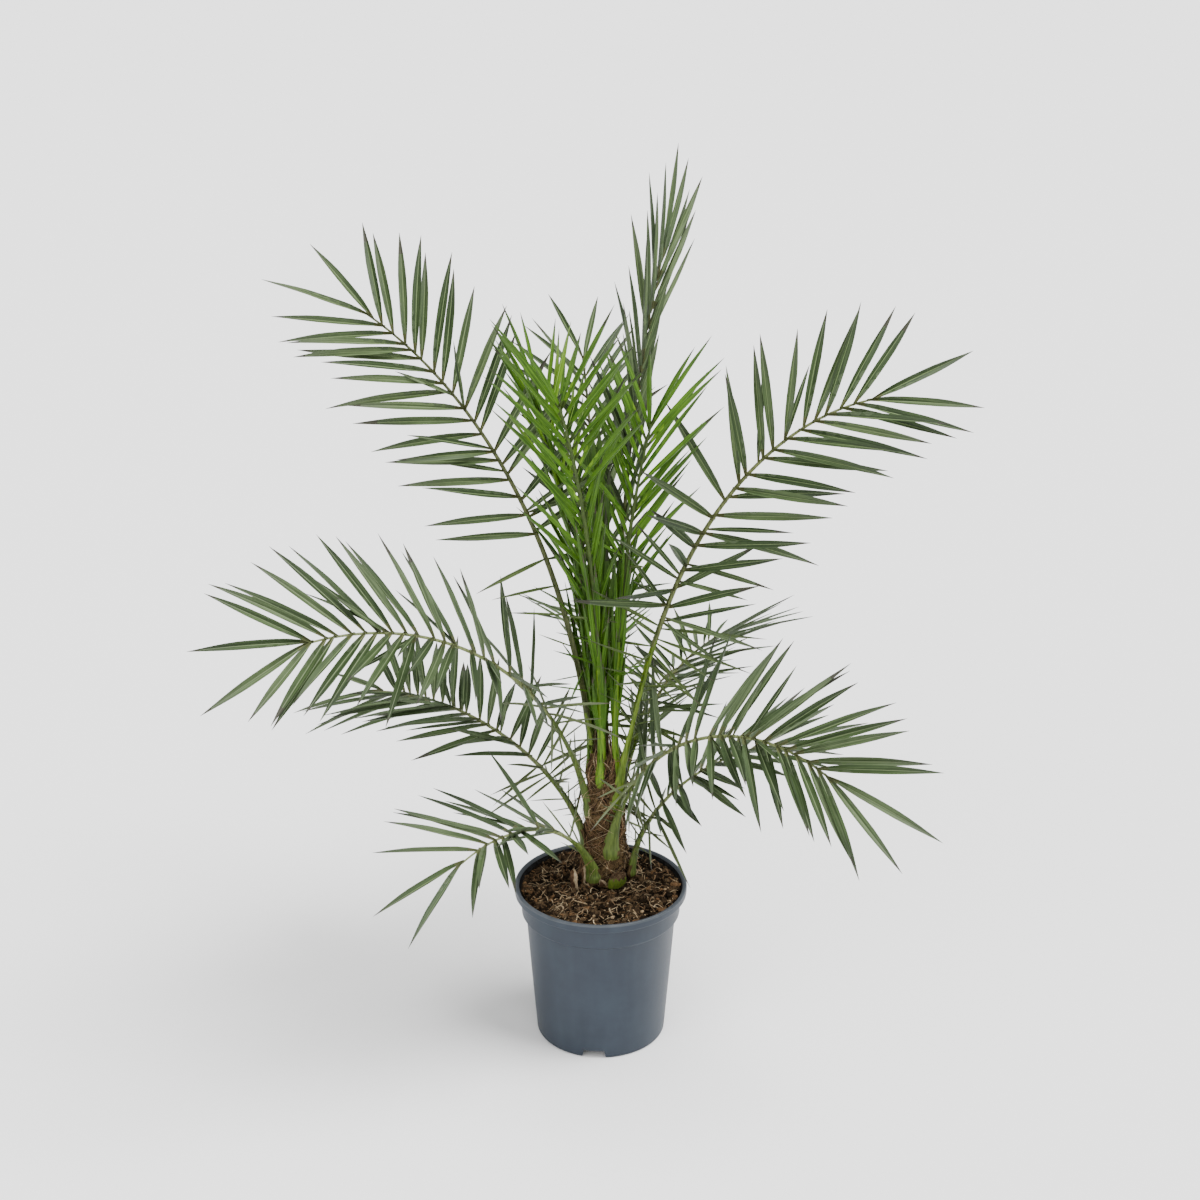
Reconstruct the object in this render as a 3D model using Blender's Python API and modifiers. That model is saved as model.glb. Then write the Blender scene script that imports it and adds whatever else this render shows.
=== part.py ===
"""A young Canary Island date palm in a round nursery pot.

The plant is an assembly: a tapered pot, the compost that fills it, a short fibrous trunk that
flares to a flat cut at soil level, the stub of one pruned leaf, and feather fronds that rise from
the trunk and arch over. Metres, +Z up. The origin is the centre of the pot's flat underside and
-Y is the front.
"""

import math
import random
from dataclasses import dataclass

import bmesh
import bpy
from mathutils import Matrix, Vector
from mathutils.bvhtree import BVHTree

# Driving dimensions ---------------------------------------------------------------------------

GAP = 0.0003                    # left between pieces that rest on each other

POT_HEIGHT = 0.228
POT_RIM_RADIUS = 0.120
POT_FOOT_RADIUS = 0.0905
POT_WALL = 0.0026
POT_STEPS = 40

SOIL_EDGE_HEIGHT = 0.2135
SOIL_TOP_HEIGHT = 0.2235
SOIL_MOUND_RADIUS = 0.082

TRUNK_AXIS = Vector((0.007, 0.030, 0.0))
TRUNK_FOOT_HEIGHT = SOIL_TOP_HEIGHT + GAP
TRUNK_TOP_HEIGHT = 0.401
TRUNK_LEAN = Vector((-0.002, -0.003, 0.0))

LEAF_WIDTH = 0.0125             # of a full-size leaflet, across its open fold
LEAF_FULL_LENGTH = 0.16         # of a full-size leaflet
LEAF_LEAST_WIDTH = 0.55         # share of the full width that the shortest leaflets tend to
LEAF_THICKNESS = 0.0019
LEAF_FOLD = 0.0016              # the edges stand this far above the keel
LEAF_WIDEST_AT = 0.36           # of the leaflet's length
LEAF_DROOP = 0.03               # of the leaflet's length, at its tip
CLEARANCE = 0.0006              # left between a leaflet and every other limb

RIB_STEPS = 60                  # steps in which a frond's rib is walked
RIB_SECTION_EVERY = 4           # steps between two sections of its solid
RIB_TIP_WIDTH = 0.0026
RIB_DEPTH_SHARE = 0.8           # depth of a slender rib for its width
RIB_DEPTH_FLOOR = 0.0042        # depth of a broad foot: this, and a share of its width
RIB_DEPTH_GAIN = 0.10
STALK_WIDTH = 0.0062            # of the shortest frond's stalk, above its clasping foot
STALK_WIDTH_GAIN = 0.0085       # added for each metre of the frond's length
STALK_TAPER = 1.25              # above 1 the stalk thins early, below 1 late
CLASP_LENGTH = 0.035            # over which the foot narrows to the stalk
CLASP_SHARE = 0.25              # of the rib's length, over which it turns to face the blade
HEEL_LENGTH = 0.014             # of the stalk's foot that runs on into the trunk
HEEL_SINK = 0.004               # how far that foot leans in towards the axis
HEEL_SCALE = 0.45               # its width, as a share of the foot's
ROOT_SHARE = 0.45               # of the rib's width that a leaflet's root is sunk in

GROUP = 3                       # leaflets stand in threes
CROWDING = 0.72                 # spacing inside a group, as a share of the even spacing
FLOP_STEP = 8.0                 # degrees between the leaflets of a group
SLOT_JITTER = 0.18              # of a leaflet's place, in spacings
SLOT_EASE = 0.82                # below 1 the leaflets crowd towards the tip
SPREAD_EASE = 1.2               # above 1 the leaflets close up late, near the tip
SPREAD_JITTER = 4.0             # degrees
LIFT_JITTER = 3.0               # degrees
LENGTH_JITTER = (0.94, 1.05)
SHORTEST = 0.72                 # length of the least leaflets, as a share of the longest
SWELL_FROM = 0.12               # part of a half wave that the lengths follow along the rib
SWELL_SPAN = 0.58
LAST_LEAFLETS = (               # row, place, share of the longest leaflet, share of the spread
    (1, 0.995, 0.99, 0.45),
    (-1, 0.985, 0.94, 0.40),
)
LAST_LIFT = 2.0                 # degrees
LEAST_ANGLE = 4.0               # degrees between a leaflet and the rib
DETOURS = ((0, 0, 1.0), (14, 0, 1.0), (-14, 0, 1.0), (0, -16, 0.95), (26, -8, 0.9),
           (-26, -8, 0.9), (0, -26, 0.8), (20, -24, 0.7), (-20, -24, 0.7))


@dataclass(frozen=True)
class Frond:
    """One feather frond. Angles are in degrees; heading 0 is +X and 90 is +Y."""

    name: str
    heading: float              # the way the frond leans out
    height: float               # of the stalk's foot
    reach: float                # of the stalk's foot from the trunk's axis
    foot_heading: float         # side of the trunk that the foot is on
    rise: float                 # pitch of the stalk at its foot
    arch: float                 # how far the pitch falls by the tip
    bend: float                 # above 1 the frond bends late, below 1 early
    length: float
    sweep: float                # change of heading by the tip
    roll: float                 # turn of the blade about the rib at the first leaflets
    roll_tip: float             # and at the tip
    first: float                # where the leaflets begin, as a share of the length
    pairs: int
    leaf: float                 # length of the longest leaflets
    spread: float               # angle between rib and leaflet at the first leaflets
    spread_tip: float           # and at the tip
    lift: float                 # how far the two rows stand up out of the flat
    foot_width: float           # of the stalk where it clasps the trunk
    seed: int


OLD_FRONDS = (
    Frond("frond_left_high", 157, 0.402, 0.0150, 178, 81, 55, 1.60, 0.708, -5, -70, -38, 0.43,
          17, 0.160, 74, 36, 10, 0.013, 11),
    Frond("frond_right_high", 3, 0.366, 0.027, -55, 79, 74, 2.30, 0.684, 15, 17, 50, 0.37,
          17, 0.170, 80, 34, 18, 0.016, 12),
    Frond("frond_left_mid", 202, 0.338, 0.026, 200, 79, 86, 1.11, 0.548, 5, 6, -47, 0.32,
          18, 0.165, 80, 38, 12, 0.020, 13),
    Frond("frond_right_mid", -29, 0.282, 0.029, -75, 83, 111, 1.11, 0.451, -7, 18, 41, 0.28,
          17, 0.165, 78, 30, 20, 0.022, 16),
    Frond("frond_top", 60, 0.402, 0.0150, 34, 88.4, 28, 1.95, 0.692, 4, 66, 74, 0.46,
          14, 0.163, 34, 13, 6, 0.012, 19),
    Frond("frond_left_low", 153, 0.285, 0.030, 185, 79, 92, 0.62, 0.410, -8, 9, -19, 0.30,
          16, 0.148, 66, 40, 6, 0.020, 14),
    Frond("frond_right_low", 4, 0.238, 0.037, -15, 87, 77, 0.81, 0.290, -6, 15, -3, 0.34,
          11, 0.142, 85, 29, 2, 0.020, 17),
    Frond("frond_left_bottom", 220, 0.242, 0.035, 240, 79, 99, 0.79, 0.285, 5, 6, -8, 0.34,
          10, 0.145, 85, 36, 14, 0.024, 15),
    Frond("frond_right_back", 47, 0.346, 0.026, 40, 70, 73, 1.30, 0.300, -3, -8, -22, 0.36,
          13, 0.150, 80, 30, 6, 0.016, 18),
    Frond("frond_back_high", 96, 0.402, 0.0150, 106, 82, 54, 1.60, 0.585, 0, 0, 0, 0.38,
          16, 0.156, 70, 30, 10, 0.012, 24),
    Frond("frond_back_low", 94, 0.305, 0.029, 112, 76, 90, 1.00, 0.400, 0, 0, 0, 0.34,
          13, 0.148, 75, 36, 8, 0.020, 25),
    Frond("frond_back_right_low", 70, 0.262, 0.033, 72, 76, 88, 0.90, 0.340, 0, 0, 0, 0.34,
          12, 0.140, 75, 36, 8, 0.020, 26),
)
YOUNG_FRONDS = (
    Frond("frond_centre_front", 250, 0.402, 0.0150, 250, 86, 25, 1.57, 0.562, -5, -5, 17, 0.36,
          18, 0.162, 52, 24, 14, 0.013, 20),
    Frond("frond_centre_left", 128, 0.372, 0.027, 138, 87, 26, 1.60, 0.540, 0, 6, 20, 0.38,
          16, 0.160, 46, 22, 16, 0.013, 21),
    Frond("frond_centre_right", -35, 0.402, 0.0150, 322, 89, 14, 1.60, 0.495, 0, 25, 25, 0.40,
          15, 0.152, 50, 32, 24, 0.012, 22),
    Frond("frond_spear", 200, 0.402, 0.000, 0, 89, 4, 1.50, 0.360, 0, 0, 20, 0.40,
          9, 0.150, 13, 6, 12, 0.010, 23),
)
FRONDS = OLD_FRONDS + YOUNG_FRONDS


# Scene, collections and materials -------------------------------------------------------------

def clear_scene():
    """Remove every object that the file starts with."""
    for item in list(bpy.data.objects):
        bpy.data.objects.remove(item, do_unlink=True)


def new_collection(name):
    """Make a collection under the scene's own."""
    group = bpy.data.collections.new(name)
    bpy.context.scene.collection.children.link(group)
    return group


def new_material(name, color, roughness, metallic=0.0):
    """Make a plain Principled material."""
    material = bpy.data.materials.new(name)
    material.use_nodes = True
    shader = material.node_tree.nodes["Principled BSDF"]
    shader.inputs["Base Color"].default_value = (*color, 1.0)
    shader.inputs["Roughness"].default_value = roughness
    shader.inputs["Metallic"].default_value = metallic
    return material


def new_object(name, mesh, collection, material=None):
    """Wrap a mesh in an object of the given collection."""
    item = bpy.data.objects.new(name, mesh)
    collection.objects.link(item)
    if material:
        mesh.materials.append(material)
    return item


def mesh_from(bm, name):
    """Turn a bmesh into a mesh with its faces facing out, and free it."""
    bmesh.ops.recalc_face_normals(bm, faces=bm.faces)
    mesh = bpy.data.meshes.new(name)
    bm.to_mesh(mesh)
    bm.free()
    return mesh


def evaluated_mesh(item):
    """Return an object's mesh with its modifiers applied."""
    graph = bpy.context.evaluated_depsgraph_get()
    return bpy.data.meshes.new_from_object(item.evaluated_get(graph), depsgraph=graph)


# Turned pieces --------------------------------------------------------------------------------

def turned(name, profile, steps, collection, material):
    """Spin a profile, given as (radius, height) from top to bottom, about +Z."""
    bm = bmesh.new()
    points = [bm.verts.new((radius, 0.0, height)) for radius, height in profile]
    for upper, lower in zip(points, points[1:]):
        bm.edges.new((upper, lower))
    mesh = bpy.data.meshes.new(name)
    bm.to_mesh(mesh)
    bm.free()
    item = new_object(name, mesh, collection, material)
    screw = item.modifiers.new("turn", "SCREW")
    screw.steps = screw.render_steps = steps
    screw.use_merge_vertices = True
    screw.merge_threshold = 0.00005
    return item


LIP_DROP = 0.0075               # height of the lip's straight outer face
LIP_UNDERSIDE = 0.0135          # from the rim's top to the lip's lower edge
COLLAR_BOTTOM = 0.183           # height of the step under the collar
COLLAR_RADIUS = 0.1108
BODY_TOP_RADIUS = 0.1045
RIM_INNER_RADIUS = 0.1135
BASE_PLATE = 0.008              # the raised part of the underside
BASE_THICKNESS = 0.003
FOOT_RING_INNER = 0.080
CENTRE_FOOT_RADIUS = 0.035
INNER_BASE_RADIUS = 0.0865

NOTCH_HEADINGS = (264, 24, 144)
NOTCH_WIDTH = 0.030
NOTCH_HEIGHT = 0.0075


def pot_inner_radius(height):
    """Radius of the pot's inside face at a height between its base plate and collar."""
    floor = BASE_PLATE + BASE_THICKNESS
    share = (height - floor) / (COLLAR_BOTTOM - floor)
    return INNER_BASE_RADIUS + (BODY_TOP_RADIUS - POT_WALL - INNER_BASE_RADIUS) * share


def make_pot(collection, cutters, material):
    """Turn the pot with its lip, collar, foot ring and centre foot, and cut the drain notches."""
    floor = BASE_PLATE + BASE_THICKNESS
    outside = [
        (RIM_INNER_RADIUS + 0.001, POT_HEIGHT - 0.0004),
        (POT_RIM_RADIUS - 0.0030, POT_HEIGHT),
        (POT_RIM_RADIUS - 0.0008, POT_HEIGHT - 0.0012),
        (POT_RIM_RADIUS, POT_HEIGHT - 0.0035),
        (POT_RIM_RADIUS - 0.0005, POT_HEIGHT - LIP_DROP),
        (POT_RIM_RADIUS - 0.0035, POT_HEIGHT - LIP_UNDERSIDE + 0.0010),
        (COLLAR_RADIUS + 0.0015, POT_HEIGHT - LIP_UNDERSIDE),
        (COLLAR_RADIUS, POT_HEIGHT - LIP_UNDERSIDE - 0.0015),
        (COLLAR_RADIUS - 0.0020, COLLAR_BOTTOM + 0.0040),
        (BODY_TOP_RADIUS, COLLAR_BOTTOM),
        (POT_FOOT_RADIUS + 0.0007, 0.0035),
        (POT_FOOT_RADIUS - 0.0010, 0.0),
    ]
    underside = [
        (FOOT_RING_INNER + 0.001, 0.0),
        (FOOT_RING_INNER, BASE_PLATE),
        (CENTRE_FOOT_RADIUS + 0.002, BASE_PLATE),
        (CENTRE_FOOT_RADIUS, 0.0),
        (0.0, 0.0),
    ]
    inside = [
        (0.0, floor),
        (INNER_BASE_RADIUS, floor),
        (BODY_TOP_RADIUS - POT_WALL, COLLAR_BOTTOM),
        (COLLAR_RADIUS - POT_WALL - 0.002, COLLAR_BOTTOM + 0.0040),
        (COLLAR_RADIUS - POT_WALL, POT_HEIGHT - LIP_UNDERSIDE),
        (RIM_INNER_RADIUS, POT_HEIGHT - 0.0030),
        (RIM_INNER_RADIUS + 0.001, POT_HEIGHT - 0.0004),
    ]
    pot = turned("pot", outside + underside + inside, POT_STEPS, collection, material)
    wall = POT_FOOT_RADIUS - FOOT_RING_INNER
    for index, heading in enumerate(NOTCH_HEADINGS):
        cutter = make_notch_cutter(f"notch_cutter_{index + 1}", heading, wall, cutters)
        cut = pot.modifiers.new(f"notch_{index + 1}", "BOOLEAN")
        cut.operation = "DIFFERENCE"
        cut.object = cutter
    return pot


def make_notch_cutter(name, heading, wall, cutters):
    """A wedge-sided block across the foot ring, narrower at its top."""
    bm = bmesh.new()
    bmesh.ops.create_cube(bm, size=1.0)
    for vert in bm.verts:
        if vert.co.z > 0:
            vert.co.y *= 0.7
    length = wall * 2.2
    size = Matrix.Diagonal((length, NOTCH_WIDTH, NOTCH_HEIGHT * 2, 1.0))
    place = Matrix.Translation(((POT_FOOT_RADIUS + FOOT_RING_INNER) / 2, 0.0, 0.0))
    turn = Matrix.Rotation(math.radians(heading), 4, "Z")
    bmesh.ops.transform(bm, matrix=turn @ place @ size, verts=bm.verts)
    cutter = new_object(name, mesh_from(bm, name), cutters)
    cutter.hide_render = True
    cutter.display_type = "WIRE"
    return cutter


def make_soil(collection, material):
    """Turn the compost that fills the pot, mounded to a flat seat under the trunk."""
    bottom = BASE_PLATE + BASE_THICKNESS + GAP
    edge_radius = COLLAR_RADIUS - POT_WALL - GAP
    profile = [
        (0.0, SOIL_TOP_HEIGHT),
        (SOIL_MOUND_RADIUS, SOIL_TOP_HEIGHT),
        (edge_radius - 0.0010, SOIL_EDGE_HEIGHT),
        (edge_radius - 0.0022, COLLAR_BOTTOM + 0.0040),
        (pot_inner_radius(COLLAR_BOTTOM) - GAP * 2, COLLAR_BOTTOM - 0.0006),
        (INNER_BASE_RADIUS - GAP * 2, bottom),
        (0.0, bottom),
    ]
    return turned("soil", profile, POT_STEPS, collection, material)


# Trunk and stub -------------------------------------------------------------------------------

TRUNK_SIDES = 20
TRUNK_RADII = (                 # height above the soil, radius
    (0.000, 0.0400), (0.010, 0.0355), (0.030, 0.0305), (0.060, 0.0275),
    (0.095, 0.0266), (0.130, 0.0256), (0.160, 0.0246), (0.1772, 0.0228),
)


def trunk_centre(height):
    """Centre of the trunk at a height above the ground."""
    share = (height - TRUNK_FOOT_HEIGHT) / (TRUNK_TOP_HEIGHT - TRUNK_FOOT_HEIGHT)
    return TRUNK_AXIS + TRUNK_LEAN * share + Vector((0.0, 0.0, height))


def trunk_mesh(name, grow):
    """Extrude a ring up the trunk's axis. grow widens it and carries it past both ends."""
    bm = bmesh.new()
    ring = bmesh.ops.create_circle(bm, cap_ends=True, segments=TRUNK_SIDES, radius=1.0)["verts"]
    face = ring[0].link_faces[0]
    levels = [(rise, radius + grow) for rise, radius in TRUNK_RADII]
    if grow:
        levels = [(-grow, levels[0][1])] + levels[1:-1] + [(levels[-1][0] + grow, levels[-1][1])]
    shape_ring(face.verts, levels[0])
    for level in levels[1:]:
        face = extrude_cap(bm, face)
        shape_ring(face.verts, level)
    return mesh_from(bm, name)


def extrude_cap(bm, face):
    """Extrude an end cap and return the new one."""
    made = bmesh.ops.extrude_face_region(bm, geom=[face, *face.edges])["geom"]
    return next(item for item in made if isinstance(item, bmesh.types.BMFace))


def shape_ring(verts, level):
    """Set a ring of the trunk to its height and radius."""
    rise, radius = level
    middle = sum((vert.co for vert in verts), Vector()) / len(verts)
    centre = trunk_centre(TRUNK_FOOT_HEIGHT + rise)
    for vert in verts:
        away = vert.co - middle
        away.z = 0.0
        vert.co = centre + away.normalized() * radius


def make_trunk(collection, material):
    """The trunk: flat at the soil, flared at its foot and leaning a little."""
    return new_object("trunk", trunk_mesh("trunk", 0.0), collection, material)


def make_trunk_cutter(cutters):
    """The trunk grown by the gap, which cuts each stalk's foot clear of it."""
    cutter = new_object("trunk_cutter", trunk_mesh("trunk_cutter", GAP), cutters)
    cutter.hide_render = True
    cutter.display_type = "WIRE"
    return cutter


STUB_HEADING = -67
STUB_REACH = 0.0375
STUB_HEIGHT = 0.024
STUB_WIDTH = 0.025
STUB_DEPTH = 0.014
STUB_TILT = 22


def make_stub(collection, material, trunk_cutter):
    """The stub of a pruned leaf: a thick crescent that leans out at the trunk's foot."""
    bm = bmesh.new()
    bmesh.ops.create_cone(bm, cap_ends=True, segments=10, radius1=0.5, radius2=0.40, depth=1.0)
    bmesh.ops.translate(bm, verts=bm.verts, vec=(0.0, 0.0, 0.5))
    size = Matrix.Diagonal((STUB_DEPTH, STUB_WIDTH, STUB_HEIGHT, 1.0))
    shear = Matrix.Identity(4)
    shear[0][2] = math.tan(math.radians(STUB_TILT))
    turn = Matrix.Rotation(math.radians(STUB_HEADING), 4, "Z")
    foot = Matrix.Translation(TRUNK_AXIS + Vector((0.0, 0.0, TRUNK_FOOT_HEIGHT)))
    out = Matrix.Translation((STUB_REACH, 0.0, 0.0))
    bmesh.ops.transform(bm, matrix=foot @ turn @ out @ shear @ size, verts=bm.verts)
    stub = new_object("cut_leaf_base", mesh_from(bm, "cut_leaf_base"), collection, material)
    cut = stub.modifiers.new("clear_of_trunk", "BOOLEAN")
    cut.operation = "DIFFERENCE"
    cut.object = trunk_cutter
    return stub


# The rule of a frond --------------------------------------------------------------------------

def rib_axes(frond, share):
    """Tangent, side and upward normal of the blade at a share of the rib's length."""
    pitch = math.radians(frond.rise - frond.arch * share ** frond.bend)
    heading = math.radians(frond.heading + frond.sweep * share)
    tangent = Vector((math.cos(pitch) * math.cos(heading),
                      math.cos(pitch) * math.sin(heading), math.sin(pitch)))
    level = Vector((-math.sin(heading), math.cos(heading), 0.0))
    normal = tangent.cross(level)
    roll = math.radians(frond.roll + (frond.roll_tip - frond.roll) * share)
    side = level * math.cos(roll) + normal * math.sin(roll)
    return tangent, side, normal * math.cos(roll) - level * math.sin(roll)


def rib_points(frond):
    """Walk the rib from its foot to its tip in equal steps."""
    around = math.radians(frond.foot_heading)
    out = Vector((math.cos(around), math.sin(around), 0.0)) * frond.reach
    points = [TRUNK_AXIS + out + Vector((0.0, 0.0, frond.height))]
    for step in range(RIB_STEPS):
        tangent = rib_axes(frond, (step + 0.5) / RIB_STEPS)[0]
        points.append(points[-1] + tangent * (frond.length / RIB_STEPS))
    return points


def point_on(points, share):
    """Point at a share of a walked rib."""
    place = min(max(share * RIB_STEPS, 0.0), RIB_STEPS - 1e-6)
    index = int(place)
    return points[index].lerp(points[index + 1], place - index)


def rib_width(frond, share):
    """Width of the stalk and rib: broad at the foot, then slender to the tip."""
    stalk = STALK_WIDTH + STALK_WIDTH_GAIN * frond.length
    clasp = max(frond.foot_width - stalk, 0.0) * math.exp(-share * frond.length / CLASP_LENGTH)
    return clasp + RIB_TIP_WIDTH + (stalk - RIB_TIP_WIDTH) * (1.0 - share) ** STALK_TAPER


def leaflet_plan(frond):
    """List each leaflet's place, length, angles and row by the frond's own seeded rule."""
    dice = random.Random(frond.seed)
    slots = GROUP * math.ceil(frond.pairs / GROUP)
    plan = []
    for row in (1, -1):
        for index in range(frond.pairs):
            group, member = divmod(index, GROUP)
            slot = GROUP * group + GROUP / 2 + (member - 1) * CROWDING
            slot = min((slot + dice.uniform(-SLOT_JITTER, SLOT_JITTER)) / slots, 1.0)
            share = frond.first + (1.0 - frond.first) * slot ** SLOT_EASE
            age = (share - frond.first) / (1.0 - frond.first)
            wave = math.sin(math.pi * min(1.0, SWELL_FROM + SWELL_SPAN * slot))
            growth = SHORTEST + (1.0 - SHORTEST) * wave
            length = frond.leaf * growth * dice.uniform(*LENGTH_JITTER)
            spread = frond.spread + (frond.spread_tip - frond.spread) * age ** SPREAD_EASE
            spread += dice.uniform(-SPREAD_JITTER, SPREAD_JITTER)
            lift = frond.lift + (member - 1) * FLOP_STEP
            lift += dice.uniform(-LIFT_JITTER, LIFT_JITTER)
            plan.append((row, share, length, spread, lift))
    for row, share, grow, close in LAST_LEAFLETS:
        plan.append((row, share, frond.leaf * grow, frond.spread_tip * close, LAST_LIFT))
    return plan


def leaflet_frame(frond, points, leaflet, detour):
    """Root, direction, width axis and up axis of one leaflet, turned by a detour."""
    row, share, length, spread, lift = leaflet
    turn, close, shorten = detour
    tangent, side, normal = rib_axes(frond, share)
    angle = math.radians(max(spread + close, LEAST_ANGLE))
    rise = math.radians(lift + turn)
    out = side * (row * math.cos(rise)) + normal * math.sin(rise)
    along = tangent * math.cos(angle) + out * math.sin(angle)
    across = (tangent - along * tangent.dot(along)).normalized()
    up = across.cross(along) * row
    return point_on(points, share), along, across, up, length * shorten


# Solids of a frond ----------------------------------------------------------------------------

def leaflet_bmesh(frame, root_back, swell=0.0):
    """One folded, pointed leaflet: an octahedron with its ring drawn towards the root."""
    root, along, across, up, length = frame
    bm = bmesh.new()
    bmesh.ops.create_uvsphere(bm, u_segments=4, v_segments=2, radius=1.0)
    size = LEAF_LEAST_WIDTH + (1.0 - LEAF_LEAST_WIDTH) * length / LEAF_FULL_LENGTH
    width = LEAF_WIDTH * size / 2 + swell
    thick = LEAF_THICKNESS / 2 + swell
    whole = length + root_back
    for vert in bm.verts:
        x, y, z = vert.co
        if z > 0.5:
            reach, drop = length + swell, LEAF_DROOP * length
        elif z < -0.5:
            reach, drop = -root_back, 0.0
        else:
            reach, drop = whole * LEAF_WIDEST_AT - root_back, 0.0
        fold = LEAF_FOLD * abs(x)
        place = root + along * reach + across * (x * width) + up * (y * thick + fold)
        vert.co = place - Vector((0.0, 0.0, drop))
    bmesh.ops.recalc_face_normals(bm, faces=bm.faces)
    return bm


RIB_SIDES = 4


def rib_bmesh(frond, points):
    """The stalk and rib: rings extruded from the heel in the trunk out to the tip."""
    bm = bmesh.new()
    ring = bmesh.ops.create_circle(bm, cap_ends=True, segments=RIB_SIDES, radius=1.0)["verts"]
    face = ring[0].link_faces[0]
    outline = [vert.co.copy() for vert in face.verts]
    around = math.radians(frond.foot_heading)
    inward = Vector((math.cos(around), math.sin(around), 0.0)) * -min(frond.reach, HEEL_SINK)
    tangent = rib_axes(frond, 0.0)[0]
    heel = points[0] - tangent * HEEL_LENGTH + inward
    stations = [(heel, 0.0, HEEL_SCALE)]
    stations += [(points[step], step / RIB_STEPS, 1.0)
                 for step in range(0, RIB_STEPS + 1, RIB_SECTION_EVERY)]
    for index, (centre, share, scale) in enumerate(stations):
        if index:
            face = extrude_cap(bm, face)
        side, normal = stalk_axes(frond, share)
        half = rib_width(frond, share) / 2 * scale
        depth = min(half * RIB_DEPTH_SHARE, RIB_DEPTH_FLOOR + RIB_DEPTH_GAIN * half)
        for vert, flat in zip(face.verts, outline):
            vert.co = centre + side * (flat.x * half) + normal * (flat.y * depth)
    bmesh.ops.recalc_face_normals(bm, faces=bm.faces)
    return bm


def stalk_axes(frond, share):
    """Side and normal of the rib's section: flat to the trunk at the foot, then with the blade."""
    tangent, side, _ = rib_axes(frond, share)
    around = math.radians(frond.foot_heading)
    level = Vector((-math.sin(around), math.cos(around), 0.0))
    level = (level - tangent * level.dot(tangent)).normalized()
    hold = max(0.0, 1.0 - share / CLASP_SHARE)
    if side.dot(level) < 0:
        level = -level
    side = level * hold + side * (1.0 - hold)
    side = (side - tangent * side.dot(tangent)).normalized()
    return side, tangent.cross(side)


def tree_of(bm):
    """A search tree over a bmesh's faces."""
    return BVHTree.FromBMesh(bm)


def is_clear(bm, trees):
    """True where a bmesh touches none of the trees."""
    own = tree_of(bm)
    return not any(own.overlap(other) for other in trees)


def place_leaflets(frond, points, obstacles):
    """Choose for each leaflet the first detour that is clear of every other limb."""
    chosen = []
    for leaflet in leaflet_plan(frond):
        root_back = rib_width(frond, leaflet[1]) * ROOT_SHARE
        for detour in DETOURS:
            frame = leaflet_frame(frond, points, leaflet, detour)
            bulky = leaflet_bmesh(frame, 0.0, CLEARANCE)
            free = is_clear(bulky, obstacles)
            bulky.free()
            if free:
                chosen.append(leaflet_bmesh(frame, root_back))
                break
    return chosen


def largest_shell(mesh):
    """Drop the loose scraps of a mesh and keep its biggest connected shell."""
    bm = bmesh.new()
    bm.from_mesh(mesh)
    bmesh.ops.triangulate(bm, faces=bm.faces)
    shells = []
    todo = set(bm.verts)
    while todo:
        shell = set()
        stack = [todo.pop()]
        while stack:
            vert = stack.pop()
            shell.add(vert)
            for edge in vert.link_edges:
                other = edge.other_vert(vert)
                if other in todo:
                    todo.remove(other)
                    stack.append(other)
        shells.append(shell)
    shells.sort(key=len, reverse=True)
    for shell in shells[1:]:
        bmesh.ops.delete(bm, geom=list(shell), context="VERTS")
    bm.to_mesh(mesh)
    bm.free()
    return mesh


def make_frond(frond, obstacles, collection, cutters, trunk_cutter, material):
    """Join a frond's rib and leaflets into one solid, cut clear of the trunk."""
    points = rib_points(frond)
    rib = new_object(frond.name, mesh_from(rib_bmesh(frond, points), frond.name), collection,
                     material)
    leaves = bpy.data.collections.new(frond.name + "_leaflets")
    cutters.children.link(leaves)
    for number, bm in enumerate(place_leaflets(frond, points, obstacles)):
        name = f"{frond.name}_leaflet_{number + 1}"
        new_object(name, mesh_from(bm, name), leaves)
    join = rib.modifiers.new("join_leaflets", "BOOLEAN")
    join.operation = "UNION"
    join.solver = "MANIFOLD"
    join.operand_type = "COLLECTION"
    join.collection = leaves
    trim = rib.modifiers.new("clear_of_trunk", "BOOLEAN")
    trim.operation = "DIFFERENCE"
    trim.solver = "MANIFOLD"
    trim.object = trunk_cutter
    joined = largest_shell(evaluated_mesh(rib))
    rib.modifiers.clear()
    plain = rib.data
    rib.data = joined
    bpy.data.meshes.remove(plain)
    for item in list(leaves.objects):
        bpy.data.objects.remove(item, do_unlink=True)
    bpy.data.collections.remove(leaves)
    return rib


def object_tree(item):
    """A search tree over an object's evaluated mesh."""
    bm = bmesh.new()
    mesh = evaluated_mesh(item)
    bm.from_mesh(mesh)
    tree = tree_of(bm)
    bm.free()
    bpy.data.meshes.remove(mesh)
    return tree


def make_crown(collection, cutters, trunk_cutter, still, colors):
    """Build every frond in turn, each kept clear of the others."""
    ribs = {}
    for frond in FRONDS:
        bm = rib_bmesh(frond, rib_points(frond))
        ribs[frond.name] = tree_of(bm)
        bm.free()
    made = []
    for index, frond in enumerate(FRONDS):
        waiting = [ribs[later.name] for later in FRONDS[index + 1:]]
        obstacles = still + [object_tree(item) for item in made] + waiting
        color = colors["young_green" if frond in YOUNG_FRONDS else "old_green"]
        made.append(make_frond(frond, obstacles, collection, cutters, trunk_cutter, color))


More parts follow.
